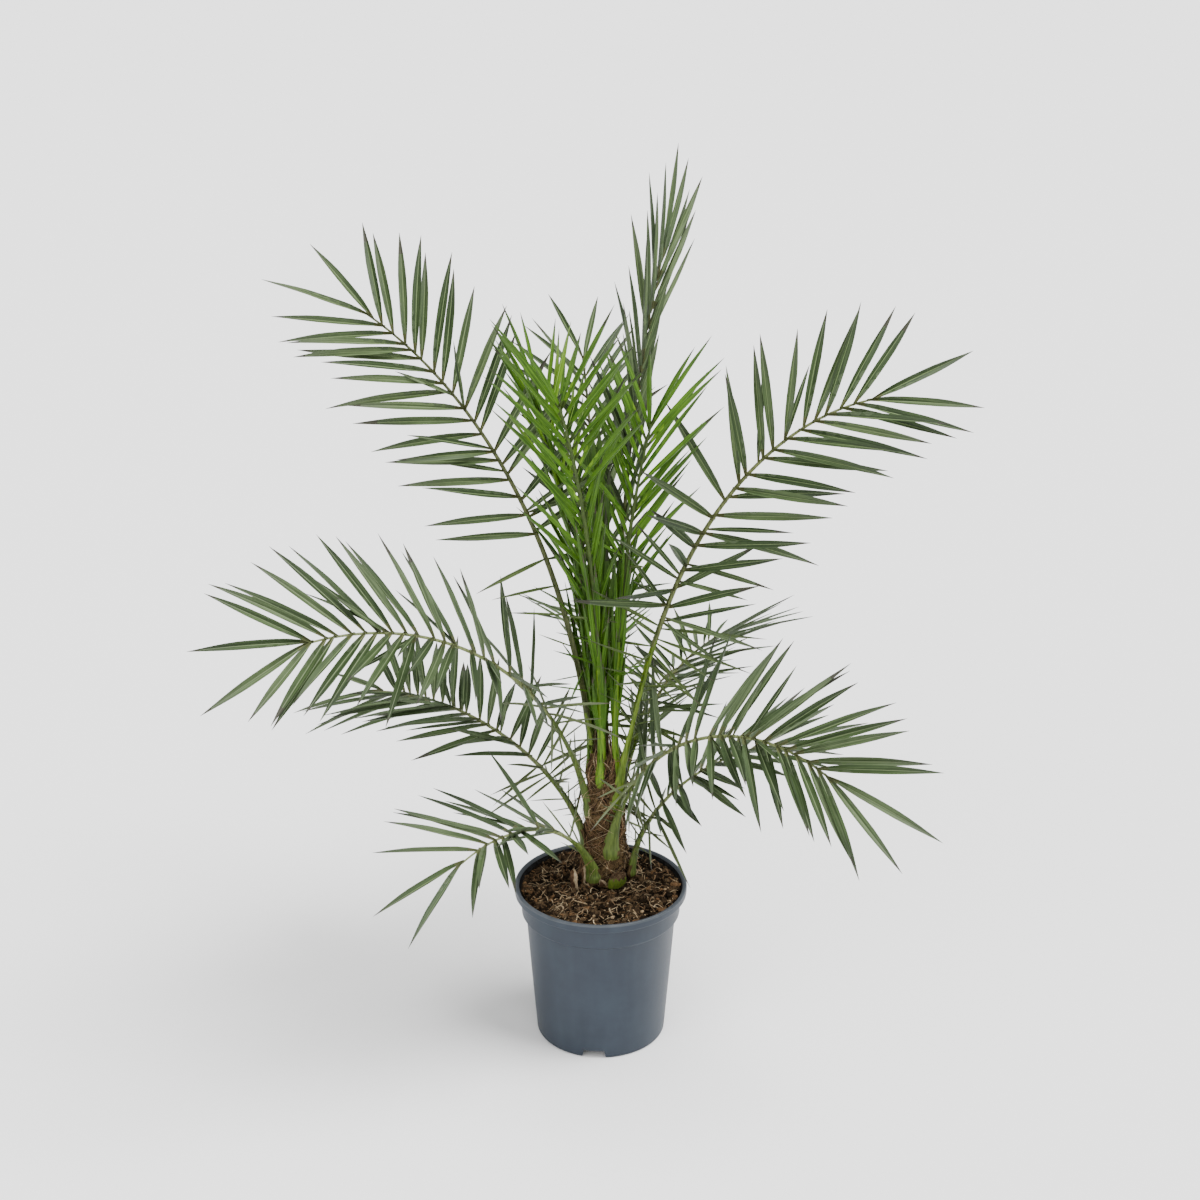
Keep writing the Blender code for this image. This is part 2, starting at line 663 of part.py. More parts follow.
def main():
    """Build the potted palm."""
    clear_scene()
    palm = new_collection("potted_date_palm")
    cutters = new_collection("cutters")
    colors = {
        "pot_plastic": new_material("pot_plastic", (0.085, 0.105, 0.125), 0.55),
        "compost": new_material("compost", (0.055, 0.033, 0.020), 0.95),
        "trunk_fibre": new_material("trunk_fibre", (0.16, 0.095, 0.050), 0.90),
        "cut_green": new_material("cut_green", (0.16, 0.33, 0.04), 0.50),
        "old_green": new_material("old_green", (0.075, 0.125, 0.045), 0.55),
        "young_green": new_material("young_green", (0.10, 0.22, 0.035), 0.50),
    }
    pot = make_pot(palm, cutters, colors["pot_plastic"])
    soil = make_soil(palm, colors["compost"])
    trunk = make_trunk(palm, colors["trunk_fibre"])
    trunk_cutter = make_trunk_cutter(cutters)
    stub = make_stub(palm, colors["cut_green"], trunk_cutter)
    bpy.context.view_layer.update()
    still = [object_tree(item) for item in (pot, soil, trunk, stub)]
    make_crown(palm, cutters, trunk_cutter, still, colors)


main()
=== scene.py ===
"""The finished look of a young Canary Island date palm in a round nursery pot.

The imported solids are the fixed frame. Each is replaced by a finer mesh in the same place: the pot
is turned again with more steps, the compost gets its crumbs and chips, the trunk its sheaths and
fibres, and every frond its channelled rib, folded leaflets and spines, set out by the same seeded
rule as the solids. Metres, +Z up. The origin is the centre of the pot's flat underside and -Y is
the front.
"""

import logging
import math
import random
from dataclasses import dataclass, field
from enum import Enum
from typing import Callable, Iterable, NamedTuple, Optional, Sequence, Union

import bmesh
import bpy
from mathutils import Matrix, Vector, noise
from mathutils.bvhtree import BVHTree


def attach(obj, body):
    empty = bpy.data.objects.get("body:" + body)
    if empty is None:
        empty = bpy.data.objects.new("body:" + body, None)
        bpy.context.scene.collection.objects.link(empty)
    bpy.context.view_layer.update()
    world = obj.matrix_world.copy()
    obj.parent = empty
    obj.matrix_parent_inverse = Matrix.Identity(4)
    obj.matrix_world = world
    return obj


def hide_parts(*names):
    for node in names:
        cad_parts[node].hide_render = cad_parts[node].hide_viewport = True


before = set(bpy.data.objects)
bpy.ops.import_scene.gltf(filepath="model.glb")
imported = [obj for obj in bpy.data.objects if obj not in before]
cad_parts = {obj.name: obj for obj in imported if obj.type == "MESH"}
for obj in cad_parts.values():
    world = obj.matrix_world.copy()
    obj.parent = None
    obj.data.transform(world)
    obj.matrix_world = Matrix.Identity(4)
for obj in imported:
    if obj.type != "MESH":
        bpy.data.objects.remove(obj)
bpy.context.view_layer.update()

LOG = logging.getLogger("potted_palm")
BODY = "root"
UP = Vector((0.0, 0.0, 1.0))

Color = tuple[float, float, float]
Number = Union[float, "Field"]
Axes = tuple[Vector, Vector, Vector]


# Shader maths --------------------------

class Field:
    """A node socket whose arithmetic adds Math nodes."""

    def __init__(self, graph: "Graph", socket: bpy.types.NodeSocket) -> None:
        """Wrap a socket of the given graph."""
        self.graph = graph
        self.socket = socket

    def _math(self, operation: str, *values: Number) -> "Field":
        """Add a Math node on the given values."""
        made = self.graph.node("ShaderNodeMath", {"operation": operation}, dict(enumerate(values)))
        return Field(self.graph, made.outputs[0])

    def __add__(self, other: Number) -> "Field":
        """Sum with a value or another field."""
        return self._math("ADD", self, other)

    __radd__ = __add__

    def __sub__(self, other: Number) -> "Field":
        """Difference from a value or another field."""
        return self._math("SUBTRACT", self, other)

    def __rsub__(self, other: Number) -> "Field":
        """Difference of a plain value and this field."""
        return self._math("SUBTRACT", other, self)

    def __mul__(self, other: Number) -> "Field":
        """Product with a value or another field."""
        return self._math("MULTIPLY", self, other)

    __rmul__ = __mul__

    def ramp(self, low: float, high: float) -> "Field":
        """Rise smoothly from 0 at low to 1 at high.

        Args:
            low: The value that gives 0.
            high: The value that gives 1.

        Returns:
            The smoothed share.
        """
        made = self.graph.node("ShaderNodeMapRange", {"interpolation_type": "SMOOTHSTEP"},
                               {"Value": self, "From Min": low, "From Max": high})
        return Field(self.graph, made.outputs[0])


class Graph:
    """The node tree of one material, ending in its Principled shader."""

    def __init__(self, name: str) -> None:
        """Make the material that the tree belongs to."""
        self.material = bpy.data.materials.new(name)
        self.material.use_nodes = True
        self.tree = self.material.node_tree
        self.shader = self.tree.nodes["Principled BSDF"]

    def node(self, kind: str, settings: Optional[dict] = None,
             inputs: Optional[dict] = None) -> bpy.types.Node:
        """Add a node.

        Args:
            kind: The node's type.
            settings: Its properties, which are set first.
            inputs: Values or fields for its sockets, by name or number.

        Returns:
            The new node.
        """
        made = self.tree.nodes.new(kind)
        for key, value in (settings or {}).items():
            setattr(made, key, value)
        for key, value in (inputs or {}).items():
            self.feed(made.inputs[key], value)
        return made

    def feed(self, socket: bpy.types.NodeSocket, value: Union[Number, Sequence[float]]) -> None:
        """Link a field to a socket, or set a plain value on it."""
        if isinstance(value, Field):
            self.tree.links.new(value.socket, socket)
        elif isinstance(value, (tuple, list)) and socket.type == "RGBA":
            socket.default_value = (*value, 1.0)
        else:
            socket.default_value = value

    def coordinates(self, kind: str = "Object", scale: Color = (1.0, 1.0, 1.0)) -> Field:
        """Give the surface's own coordinates.

        Args:
            kind: Object for metres in the shared frame, or UV for the piece's own map.
            scale: Stretch of the pattern along each axis.

        Returns:
            The mapped coordinates.
        """
        source = self.node("ShaderNodeTexCoord")
        placed = self.node("ShaderNodeMapping", {},
                           {"Vector": Field(self, source.outputs[kind]), "Scale": scale})
        return Field(self, placed.outputs[0])

    def noise(self, where: Field, scale: float, detail: float = 3.0,
              rough: float = 0.55) -> Field:
        """Give a noise pattern between 0 and 1 at the given coordinates."""
        made = self.node("ShaderNodeTexNoise", {},
                         {"Vector": where, "Scale": scale, "Detail": detail, "Roughness": rough})
        return Field(self, made.outputs[0])

    def shifted(self, where: Field, by: Field) -> Field:
        """Add one set of coordinates to another, so a pattern differs from piece to piece."""
        made = self.node("ShaderNodeVectorMath", {"operation": "ADD"}, {0: where, 1: by})
        return Field(self, made.outputs[0])

    def own_map(self) -> tuple[Field, Field]:
        """Give the place across and along the piece's own map, from 0 to 1."""
        source = self.node("ShaderNodeTexCoord")
        split = self.node("ShaderNodeSeparateXYZ", {}, {0: Field(self, source.outputs["UV"])})
        return Field(self, split.outputs[0]), Field(self, split.outputs[1])

    def mix(self, share: Field, low: Union[Color, Field], high: Union[Color, Field]) -> Field:
        """Blend two colours by a share."""
        made = self.node("ShaderNodeMix", {"data_type": "RGBA"}, {0: share, 6: low, 7: high})
        return Field(self, made.outputs[2])

    def dress(self, color: Union[Color, Field], roughness: Number,
              relief: Optional[Field] = None, depth: float = 0.0002,
              **constants: float) -> bpy.types.Material:
        """Feed the shader and return the finished material.

        Args:
            color: The base colour, or a field where it varies.
            roughness: A number, or a field where it varies.
            relief: Height pattern of the surface, or None where it is smooth.
            depth: Height of the relief in metres.
            constants: Numbers for the shader's other sockets, by name with underscores.

        Returns:
            The material.
        """
        self.feed(self.shader.inputs["Base Color"], color)
        self.feed(self.shader.inputs["Roughness"], roughness)
        for key, value in constants.items():
            self.shader.inputs[key.replace("_", " ")].default_value = value
        if relief is not None:
            bump = self.node("ShaderNodeBump", {}, {"Strength": 1.0, "Distance": depth,
                                                    "Height": relief})
            self.feed(self.shader.inputs["Normal"], Field(self, bump.outputs[0]))
        return self.material


# Finishes ------------------------------

@dataclass(frozen=True)
class BladeFinish:
    """The skin of a leaflet: fine veins, soft mottling, a pale midrib and a greyer tip."""

    name: str
    color: Color
    between: Color
    roughness: float = 0.46
    sheen: float = 0.24
    midrib: float = 0.20
    margin: float = 0.16
    wear: float = 0.80

    def material(self) -> bpy.types.Material:
        """Build the material."""
        graph = Graph(self.name)
        drift = graph.coordinates("Object", (14.0, 14.0, 14.0))
        wide = graph.shifted(graph.coordinates("UV", (7.0, 1.4, 1.0)), drift)
        fine = graph.shifted(graph.coordinates("UV", (38.0, 1.6, 1.0)), drift)
        bands, veins = graph.noise(wide, 1.0, 1.0), graph.noise(fine, 1.0)
        mottle = graph.noise(graph.coordinates(), 45.0)
        share = (bands * 0.55 + veins * 0.30 + mottle * 0.15).ramp(0.40, 0.60)
        skin = graph.mix(share, self.between, self.color)
        across, along = graph.own_map()
        off = across - 0.5
        square = off * off
        lines = ((1.0 - square.ramp(0.0003, 0.0040)) * self.midrib
                 + square.ramp(0.185, 0.235) * self.margin)
        pale = tuple(min(part * 2.0 + 0.008, 1.0) for part in self.color)
        grey = sum(self.color) / 3.0
        worn = tuple(0.40 * part + 0.32 * grey for part in self.color)
        skin = graph.mix(along.ramp(0.50, 1.0) * self.wear, graph.mix(lines, skin, pale), worn)
        rough = self.roughness + 0.16 * mottle
        return graph.dress(skin, rough, veins, 0.00025, Specular_IOR_Level=self.sheen)


@dataclass(frozen=True)
class StalkFinish:
    """The skin of a stalk or rib: streaks that run up it, and a few darker flecks."""

    name: str
    color: Color
    streak: Color
    fleck: Color
    roughness: float = 0.40

    def material(self) -> bpy.types.Material:
        """Build the material."""
        graph = Graph(self.name)
        streaks = graph.noise(graph.coordinates("Object", (1.0, 1.0, 0.07)), 420.0)
        flecks = graph.noise(graph.coordinates("Object", (1.0, 1.0, 0.45)), 160.0, 5.0, 0.7)
        skin = graph.mix(streaks.ramp(0.35, 0.65), self.streak, self.color)
        skin = graph.mix(flecks.ramp(0.60, 0.70), skin, self.fleck)
        return graph.dress(skin, self.roughness + 0.25 * flecks, streaks, 0.0004,
                           Specular_IOR_Level=0.25)


@dataclass(frozen=True)
class FibreFinish:
    """Dry plant fibre: a dull ground with paler threads along the piece's height."""

    name: str
    color: Color
    thread: Color
    stretch: float = 0.2

    def material(self) -> bpy.types.Material:
        """Build the material."""
        graph = Graph(self.name)
        threads = graph.noise(graph.coordinates("Object", (1.0, 1.0, self.stretch)), 700.0, 4.0)
        patches = graph.noise(graph.coordinates(), 90.0)
        share = (threads * 0.6 + patches * 0.4).ramp(0.40, 0.64)
        return graph.dress(graph.mix(share, self.color, self.thread), 0.88 - 0.2 * threads,
                           threads, 0.0008, Specular_IOR_Level=0.08)


@dataclass(frozen=True)
class CrumbFinish:
    """Compost: dark crumbs, darker in the low parts of their relief."""

    name: str
    color: Color
    damp: Color

    def material(self) -> bpy.types.Material:
        """Build the material."""
        graph = Graph(self.name)
        crumbs = graph.noise(graph.coordinates(), 330.0, 6.0, 0.65)
        clods = graph.noise(graph.coordinates(), 70.0, 3.0)
        share = (crumbs * 0.7 + clods * 0.3).ramp(0.38, 0.66)
        return graph.dress(graph.mix(share, self.damp, self.color), 0.97 - 0.15 * crumbs,
                           crumbs, 0.0015, Specular_IOR_Level=0.05)


@dataclass(frozen=True)
class PotFinish:
    """Moulded plastic: fine upright streaks, a grained skin and a dusty bloom."""

    name: str
    color: Color
    bloom: Color

    def material(self) -> bpy.types.Material:
        """Build the material."""
        graph = Graph(self.name)
        streaks = graph.noise(graph.coordinates("Object", (1.0, 1.0, 0.10)), 46.0, 3.0)
        dust = graph.noise(graph.coordinates(), 17.0, 4.0, 0.6)
        grain = graph.noise(graph.coordinates(), 2400.0, 2.0)
        share = (streaks * 0.35 + dust * 0.65).ramp(0.36, 0.70)
        rough = 0.36 + 0.16 * dust + 0.04 * streaks
        relief = grain * 0.5 + streaks
        return graph.dress(graph.mix(share, self.color, self.bloom), rough, relief, 0.00012,
                           Specular_IOR_Level=0.34)


@dataclass(frozen=True)
class PlainFinish:
    """A matt studio surface."""

    name: str
    color: Color
    roughness: float

    def material(self) -> bpy.types.Material:
        """Build the material."""
        return Graph(self.name).dress(self.color, self.roughness, Specular_IOR_Level=0.1)


Finish = Union[BladeFinish, StalkFinish, FibreFinish, CrumbFinish, PotFinish, PlainFinish]


@dataclass(frozen=True)
class FrondFinishes:
    """The finishes of one age of frond, in the order of the leaflet piece's slots."""

    tops: tuple[BladeFinish, BladeFinish, BladeFinish]
    under: BladeFinish
    keel: BladeFinish
    tip: BladeFinish
    foot: BladeFinish
    stalk: StalkFinish
    rib: StalkFinish
    spine: BladeFinish

    def blade_list(self) -> list[Finish]:
        """Finishes of the leaflets, in slot order."""
        return [*self.tops, self.under, self.keel, self.tip, self.foot]


SHEATH = FibreFinish("sheath_brown", (0.036, 0.022, 0.009), (0.115, 0.078, 0.036), 0.12)
SHADED_RIB = StalkFinish("shaded_rib", (0.074, 0.086, 0.026), (0.036, 0.045, 0.012),
                         (0.036, 0.032, 0.014))
SPINE_TIP = BladeFinish("spine_tip", (0.100, 0.078, 0.040), (0.055, 0.042, 0.022))

OLD_FINISHES = FrondFinishes(
    tops=(BladeFinish("old_leaf_deep", (0.040, 0.066, 0.022), (0.017, 0.032, 0.009)),
          BladeFinish("old_leaf_mid", (0.056, 0.090, 0.031), (0.025, 0.044, 0.013)),
          BladeFinish("old_leaf_light", (0.088, 0.126, 0.055), (0.041, 0.064, 0.023))),
    under=BladeFinish("old_leaf_under", (0.077, 0.103, 0.052), (0.045, 0.063, 0.030), 0.55),
    keel=BladeFinish("old_leaf_keel", (0.106, 0.140, 0.066), (0.072, 0.101, 0.044)),
    tip=BladeFinish("old_leaf_tip", (0.062, 0.062, 0.038), (0.034, 0.040, 0.021)),
    foot=BladeFinish("old_leaf_foot", (0.104, 0.117, 0.047), (0.052, 0.062, 0.023)),
    stalk=StalkFinish("old_stalk", (0.088, 0.128, 0.022), (0.044, 0.068, 0.010),
                      (0.080, 0.085, 0.026)),
    rib=StalkFinish("old_rib", (0.165, 0.190, 0.080), (0.100, 0.122, 0.044),
                    (0.080, 0.075, 0.036)),
    spine=BladeFinish("old_spine", (0.115, 0.142, 0.061), (0.061, 0.081, 0.030)),
)
FULL_FINISHES = FrondFinishes(
    tops=(BladeFinish("full_leaf_deep", (0.042, 0.070, 0.023), (0.016, 0.031, 0.009)),
          BladeFinish("full_leaf_mid", (0.065, 0.099, 0.036), (0.028, 0.048, 0.016)),
          BladeFinish("full_leaf_light", (0.101, 0.143, 0.060), (0.046, 0.072, 0.025))),
    under=BladeFinish("full_leaf_under", (0.077, 0.105, 0.052), (0.039, 0.060, 0.026), 0.55),
    keel=BladeFinish("full_leaf_keel", (0.100, 0.140, 0.055), (0.068, 0.101, 0.036)),
    tip=BladeFinish("full_leaf_tip", (0.058, 0.058, 0.032), (0.030, 0.036, 0.017)),
    foot=BladeFinish("full_leaf_foot", (0.078, 0.085, 0.029), (0.039, 0.047, 0.013)),
    stalk=StalkFinish("full_stalk", (0.125, 0.190, 0.016), (0.060, 0.108, 0.008),
                      (0.070, 0.085, 0.014)),
    rib=StalkFinish("full_rib", (0.120, 0.140, 0.046), (0.062, 0.074, 0.022),
                    (0.050, 0.042, 0.020)),
    spine=BladeFinish("full_spine", (0.095, 0.135, 0.041), (0.049, 0.076, 0.019)),
)
# The young fronds' greens are their own paler yellow-green, raised further as painted light for the
# glow of light through the thin blades.
YOUNG_FINISHES = FrondFinishes(
    tops=(BladeFinish("young_leaf_deep", (0.033, 0.092, 0.004), (0.012, 0.043, 0.002),
                      sheen=0.12),
          BladeFinish("young_leaf_mid", (0.076, 0.175, 0.007), (0.028, 0.080, 0.004),
                      sheen=0.12),
          BladeFinish("young_leaf_light", (0.151, 0.281, 0.020), (0.066, 0.156, 0.007),
                      sheen=0.14)),
    under=BladeFinish("young_leaf_under", (0.072, 0.156, 0.013), (0.026, 0.070, 0.005), 0.50,
                      0.14),
    keel=BladeFinish("young_leaf_keel", (0.192, 0.324, 0.054), (0.126, 0.228, 0.030)),
    tip=BladeFinish("young_leaf_tip", (0.040, 0.056, 0.012), (0.024, 0.036, 0.008)),
    foot=BladeFinish("young_leaf_foot", (0.040, 0.070, 0.008), (0.022, 0.042, 0.005)),
    stalk=StalkFinish("young_stalk", (0.125, 0.225, 0.010), (0.042, 0.110, 0.004),
                      (0.070, 0.130, 0.006)),
    rib=StalkFinish("young_rib", (0.046, 0.080, 0.010), (0.024, 0.042, 0.005),
                    (0.036, 0.040, 0.010)),
    spine=BladeFinish("young_spine", (0.065, 0.150, 0.009), (0.026, 0.072, 0.004), sheen=0.14),
)


class Age(Enum):
    """How old a frond is, with its finishes and its slot in the record."""

    OLD = ("old_green", OLD_FINISHES)
    FULL = ("old_green", FULL_FINISHES)
    YOUNG = ("young_green", YOUNG_FINISHES)

    @property
    def slot(self) -> str:
        """Material slot of the record."""
        return self.value[0]

    @property
    def finishes(self) -> FrondFinishes:
        """Finishes of a frond of this age."""
        return self.value[1]


# Making pieces -----------------------

def mesh_of(bm: bmesh.types.BMesh, name: str) -> bpy.types.Mesh:
    """Turn a bmesh into a mesh and free it."""
    mesh = bpy.data.meshes.new(name)
    bm.to_mesh(mesh)
    bm.free()
    return mesh


def link(name: str, data: bpy.types.ID) -> bpy.types.Object:
    """Make an object of a mesh, lamp or camera and link it into the scene."""
    item = bpy.data.objects.new(name, data)
    bpy.context.scene.collection.objects.link(item)
    return item


class Workshop:
    """Builds each finish once, and turns finished shapes into pieces of the palm."""

    def __init__(self) -> None:
        """Start with nothing built."""
        self._made: dict[str, bpy.types.Material] = {}

    def dress(self, mesh: bpy.types.Mesh, finishes: Iterable[Finish]) -> None:
        """Give a mesh the materials of the given finishes, in their order."""
        for finish in finishes:
            if finish.name not in self._made:
                self._made[finish.name] = finish.material()
            mesh.materials.append(self._made[finish.name])

    def piece(self, bm: bmesh.types.BMesh, name: str, finishes: Iterable[Finish], slot: str,
              stands_for: Sequence[str] = (), crease: float = 60.0) -> None:
        """Turn a bmesh into a piece of the palm and free it.

        Args:
            bm: The closed shapes, in their places.
            name: Name of the piece.
            finishes: Finishes of its material slots.
            slot: The record's slot; not used.
            stands_for: Solids that it replaces.
            crease: Angle in degrees past which an edge stays sharp.
        """
        bmesh.ops.recalc_face_normals(bm, faces=bm.faces)
        mesh = mesh_of(bm, name)
        self.dress(mesh, finishes)
        mesh.shade_smooth()
        mesh.set_sharp_from_angle(angle=math.radians(crease))
        piece = link(name, mesh)
        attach(piece, BODY)
        if stands_for:
            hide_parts(*stands_for)
        LOG.info("%s: %d faces", name, len(mesh.polygons))


def level_way(heading: float) -> Vector:
    """Level unit vector at a heading in degrees."""
    angle = math.radians(heading)
    return Vector((math.cos(angle), math.sin(angle), 0.0))


def hump(share: float) -> float:
    """Rise from 0 to 1 at half way, and fall back to 0."""
    return math.sin(math.pi * min(max(share, 0.0), 1.0))


def extrude_cap(bm: bmesh.types.BMesh, face: bmesh.types.BMFace) -> bmesh.types.BMFace:
    """Extrude an end cap and return the new one."""
    made = bmesh.ops.extrude_face_region(bm, geom=[face, *face.edges])["geom"]
    return next(item for item in made if isinstance(item, bmesh.types.BMFace))


def turn_profile(profile: Sequence[tuple[float, float]], steps: int) -> bmesh.types.BMesh:
    """Spin a profile about +Z into a closed shape.

    Args:
        profile: (radius, height) points from one end of the wall to the other.
        steps: Steps round the full turn.

    Returns:
        The turned shape.
    """
    bm = bmesh.new()
    line = [bm.verts.new((radius, 0.0, height)) for radius, height in profile]
    edges = [bm.edges.new(pair) for pair in zip(line, line[1:])]
    bmesh.ops.spin(bm, geom=line + edges, axis=UP, cent=(0.0, 0.0, 0.0), dvec=(0.0, 0.0, 0.0),
                   angle=2.0 * math.pi, steps=steps, use_merge=True, use_duplicate=False)
    bmesh.ops.remove_doubles(bm, verts=bm.verts, dist=0.00001)
    return bm


def arc(centre: tuple[float, float], radius: float, start: float, end: float,
        count: int) -> list[tuple[float, float]]:
    """Points of a round stretch of a profile, from one angle in degrees to another."""
    points = []
    for index in range(count + 1):
        angle = math.radians(start + (end - start) * index / count)
        points.append((centre[0] + radius * math.cos(angle), centre[1] + radius * math.sin(angle)))
    return points


def fractal(place: Vector, scale: float) -> float:
    """Smooth seeded noise between about -1 and 1 at a place."""
    return noise.fractal(place * scale, 0.9, 2.0, 3, noise_basis="PERLIN_ORIGINAL")


class Tube:
    """A closed tube of rings, kept as a mesh and laid down many times."""

    def __init__(self, corners: Sequence[float], rings: int) -> None:
        """Extrude the tube.

        Args:
            corners: Place of each corner of a ring across the UV map.
            rings: Number of rings.
        """
        bm = bmesh.new()
        layer = bm.loops.layers.uv.new("blade")
        ring = bmesh.ops.create_circle(bm, cap_ends=True, segments=len(corners), radius=1.0)
        face = ring["verts"][0].link_faces[0]
        seats = {vert: (0, corner) for corner, vert in enumerate(face.verts)}
        for index in range(1, rings):
            face = extrude_cap(bm, face)
            seats.update({vert: (index, corner) for corner, vert in enumerate(face.verts)})
        for item in bm.faces:
            for loop in item.loops:
                index, corner = seats[loop.vert]
                loop[layer].uv = (corners[corner], index / (rings - 1))
        bm.verts.index_update()
        self.seats = [seats[vert] for vert in bm.verts]
        self.sides = [self._side(item, seats, len(corners)) for item in bm.faces]
        self.mesh = mesh_of(bm, "tube_pattern")

    @staticmethod
    def _side(face: bmesh.types.BMFace, seats: dict, corners: int) -> tuple[int, int]:
        """Lower ring and first corner of a side face, or corner -1 for an end."""
        found = [seats[vert] for vert in face.verts]
        index = min(seat[0] for seat in found)
        if index == max(seat[0] for seat in found):
            return index, -1
        low = sorted({seat[1] for seat in found})
        return index, low[-1] if low == [0, corners - 1] else low[0]

    def lay(self, bm: bmesh.types.BMesh, sections: Sequence[Sequence[Vector]],
            paint: Callable[[int, int], int]) -> None:
        """Add one copy to a bmesh.

        Args:
            bm: Where the copy goes.
            sections: Places of the corners of each ring.
            paint: Gives a face's material slot from its ring and corner.
        """
        first_vert, first_face = len(bm.verts), len(bm.faces)
        bm.from_mesh(self.mesh)
        bm.verts.ensure_lookup_table()
        bm.faces.ensure_lookup_table()
        for offset, (index, corner) in enumerate(self.seats):
            bm.verts[first_vert + offset].co = sections[index][corner]
        for offset, (index, corner) in enumerate(self.sides):
            bm.faces[first_face + offset].material_index = paint(index, corner)


class Fibre(NamedTuple):
    """One fibre: its line over its length, its radius at the thick part, slot and flatness."""

    line: Callable[[float], Vector]
    radius: float
    slot: int
    flat: float = 1.0


class Strands:
    """Lays thin three-sided fibres along given lines."""

    RINGS = 7
    ANGLES = tuple(2.0 * math.pi * corner / 3.0 + 0.5 for corner in range(3))
    STEP = 0.02

    def __init__(self, shop: Workshop) -> None:
        """Extrude the fibre's pattern."""
        self.shop = shop
        self.tube = Tube((0.0, 0.5, 1.0), self.RINGS)

    def lay(self, bm: bmesh.types.BMesh, fibre: Fibre) -> None:
        """Add one fibre to a bmesh."""
        sections = []
        for index in range(self.RINGS):
            share = index / (self.RINGS - 1)
            middle = fibre.line(share)
            ahead = (fibre.line(share + self.STEP) - fibre.line(share - self.STEP)).normalized()
            side = ahead.cross(UP)
            side = side.normalized() if side.length > 0.001 else Vector((1.0, 0.0, 0.0))
            rise = side.cross(ahead)
            swell = 0.25 + 0.75 * math.sin(math.pi * min(share + 0.12, 1.0)) ** 0.7
            size = fibre.radius * swell
            sections.append([middle + side * (size * math.cos(angle))
                             + rise * (size * fibre.flat * math.sin(angle))
                             for angle in self.ANGLES])
        self.tube.lay(bm, sections, lambda ring, corner: fibre.slot)

    def piece(self, name: str, finishes: Sequence[Finish], slot: str, count: int, seed: int,
              draw: Callable[[random.Random, int], Fibre]) -> None:
        """Build one piece of many fibres.

        Args:
            name: Name of the piece.
            finishes: Finishes that the fibres' slots choose from.
            slot: The record's slot, passed on with the piece.
            count: Number of fibres.
            seed: Seed of the draws.
            draw: Draws a fibre from the dice and its number.
        """
        dice, bm = random.Random(seed), bmesh.new()
        for number in range(count):
            self.lay(bm, draw(dice, number))
        self.shop.piece(bm, name, finishes, slot)


# Pot -----------------------------------

POT = (
    PotFinish("pot_plastic", (0.012, 0.020, 0.033), (0.021, 0.032, 0.047)),
    CrumbFinish("pot_inside_soiled", (0.020, 0.021, 0.022), (0.007, 0.006, 0.005)),
    # The lip's finish is lighter than the body's: a painted highlight on the rim's top, over the
    # same dust pattern.
    PotFinish("pot_lip_painted_highlight", (0.040, 0.048, 0.058), (0.070, 0.080, 0.092)),
)


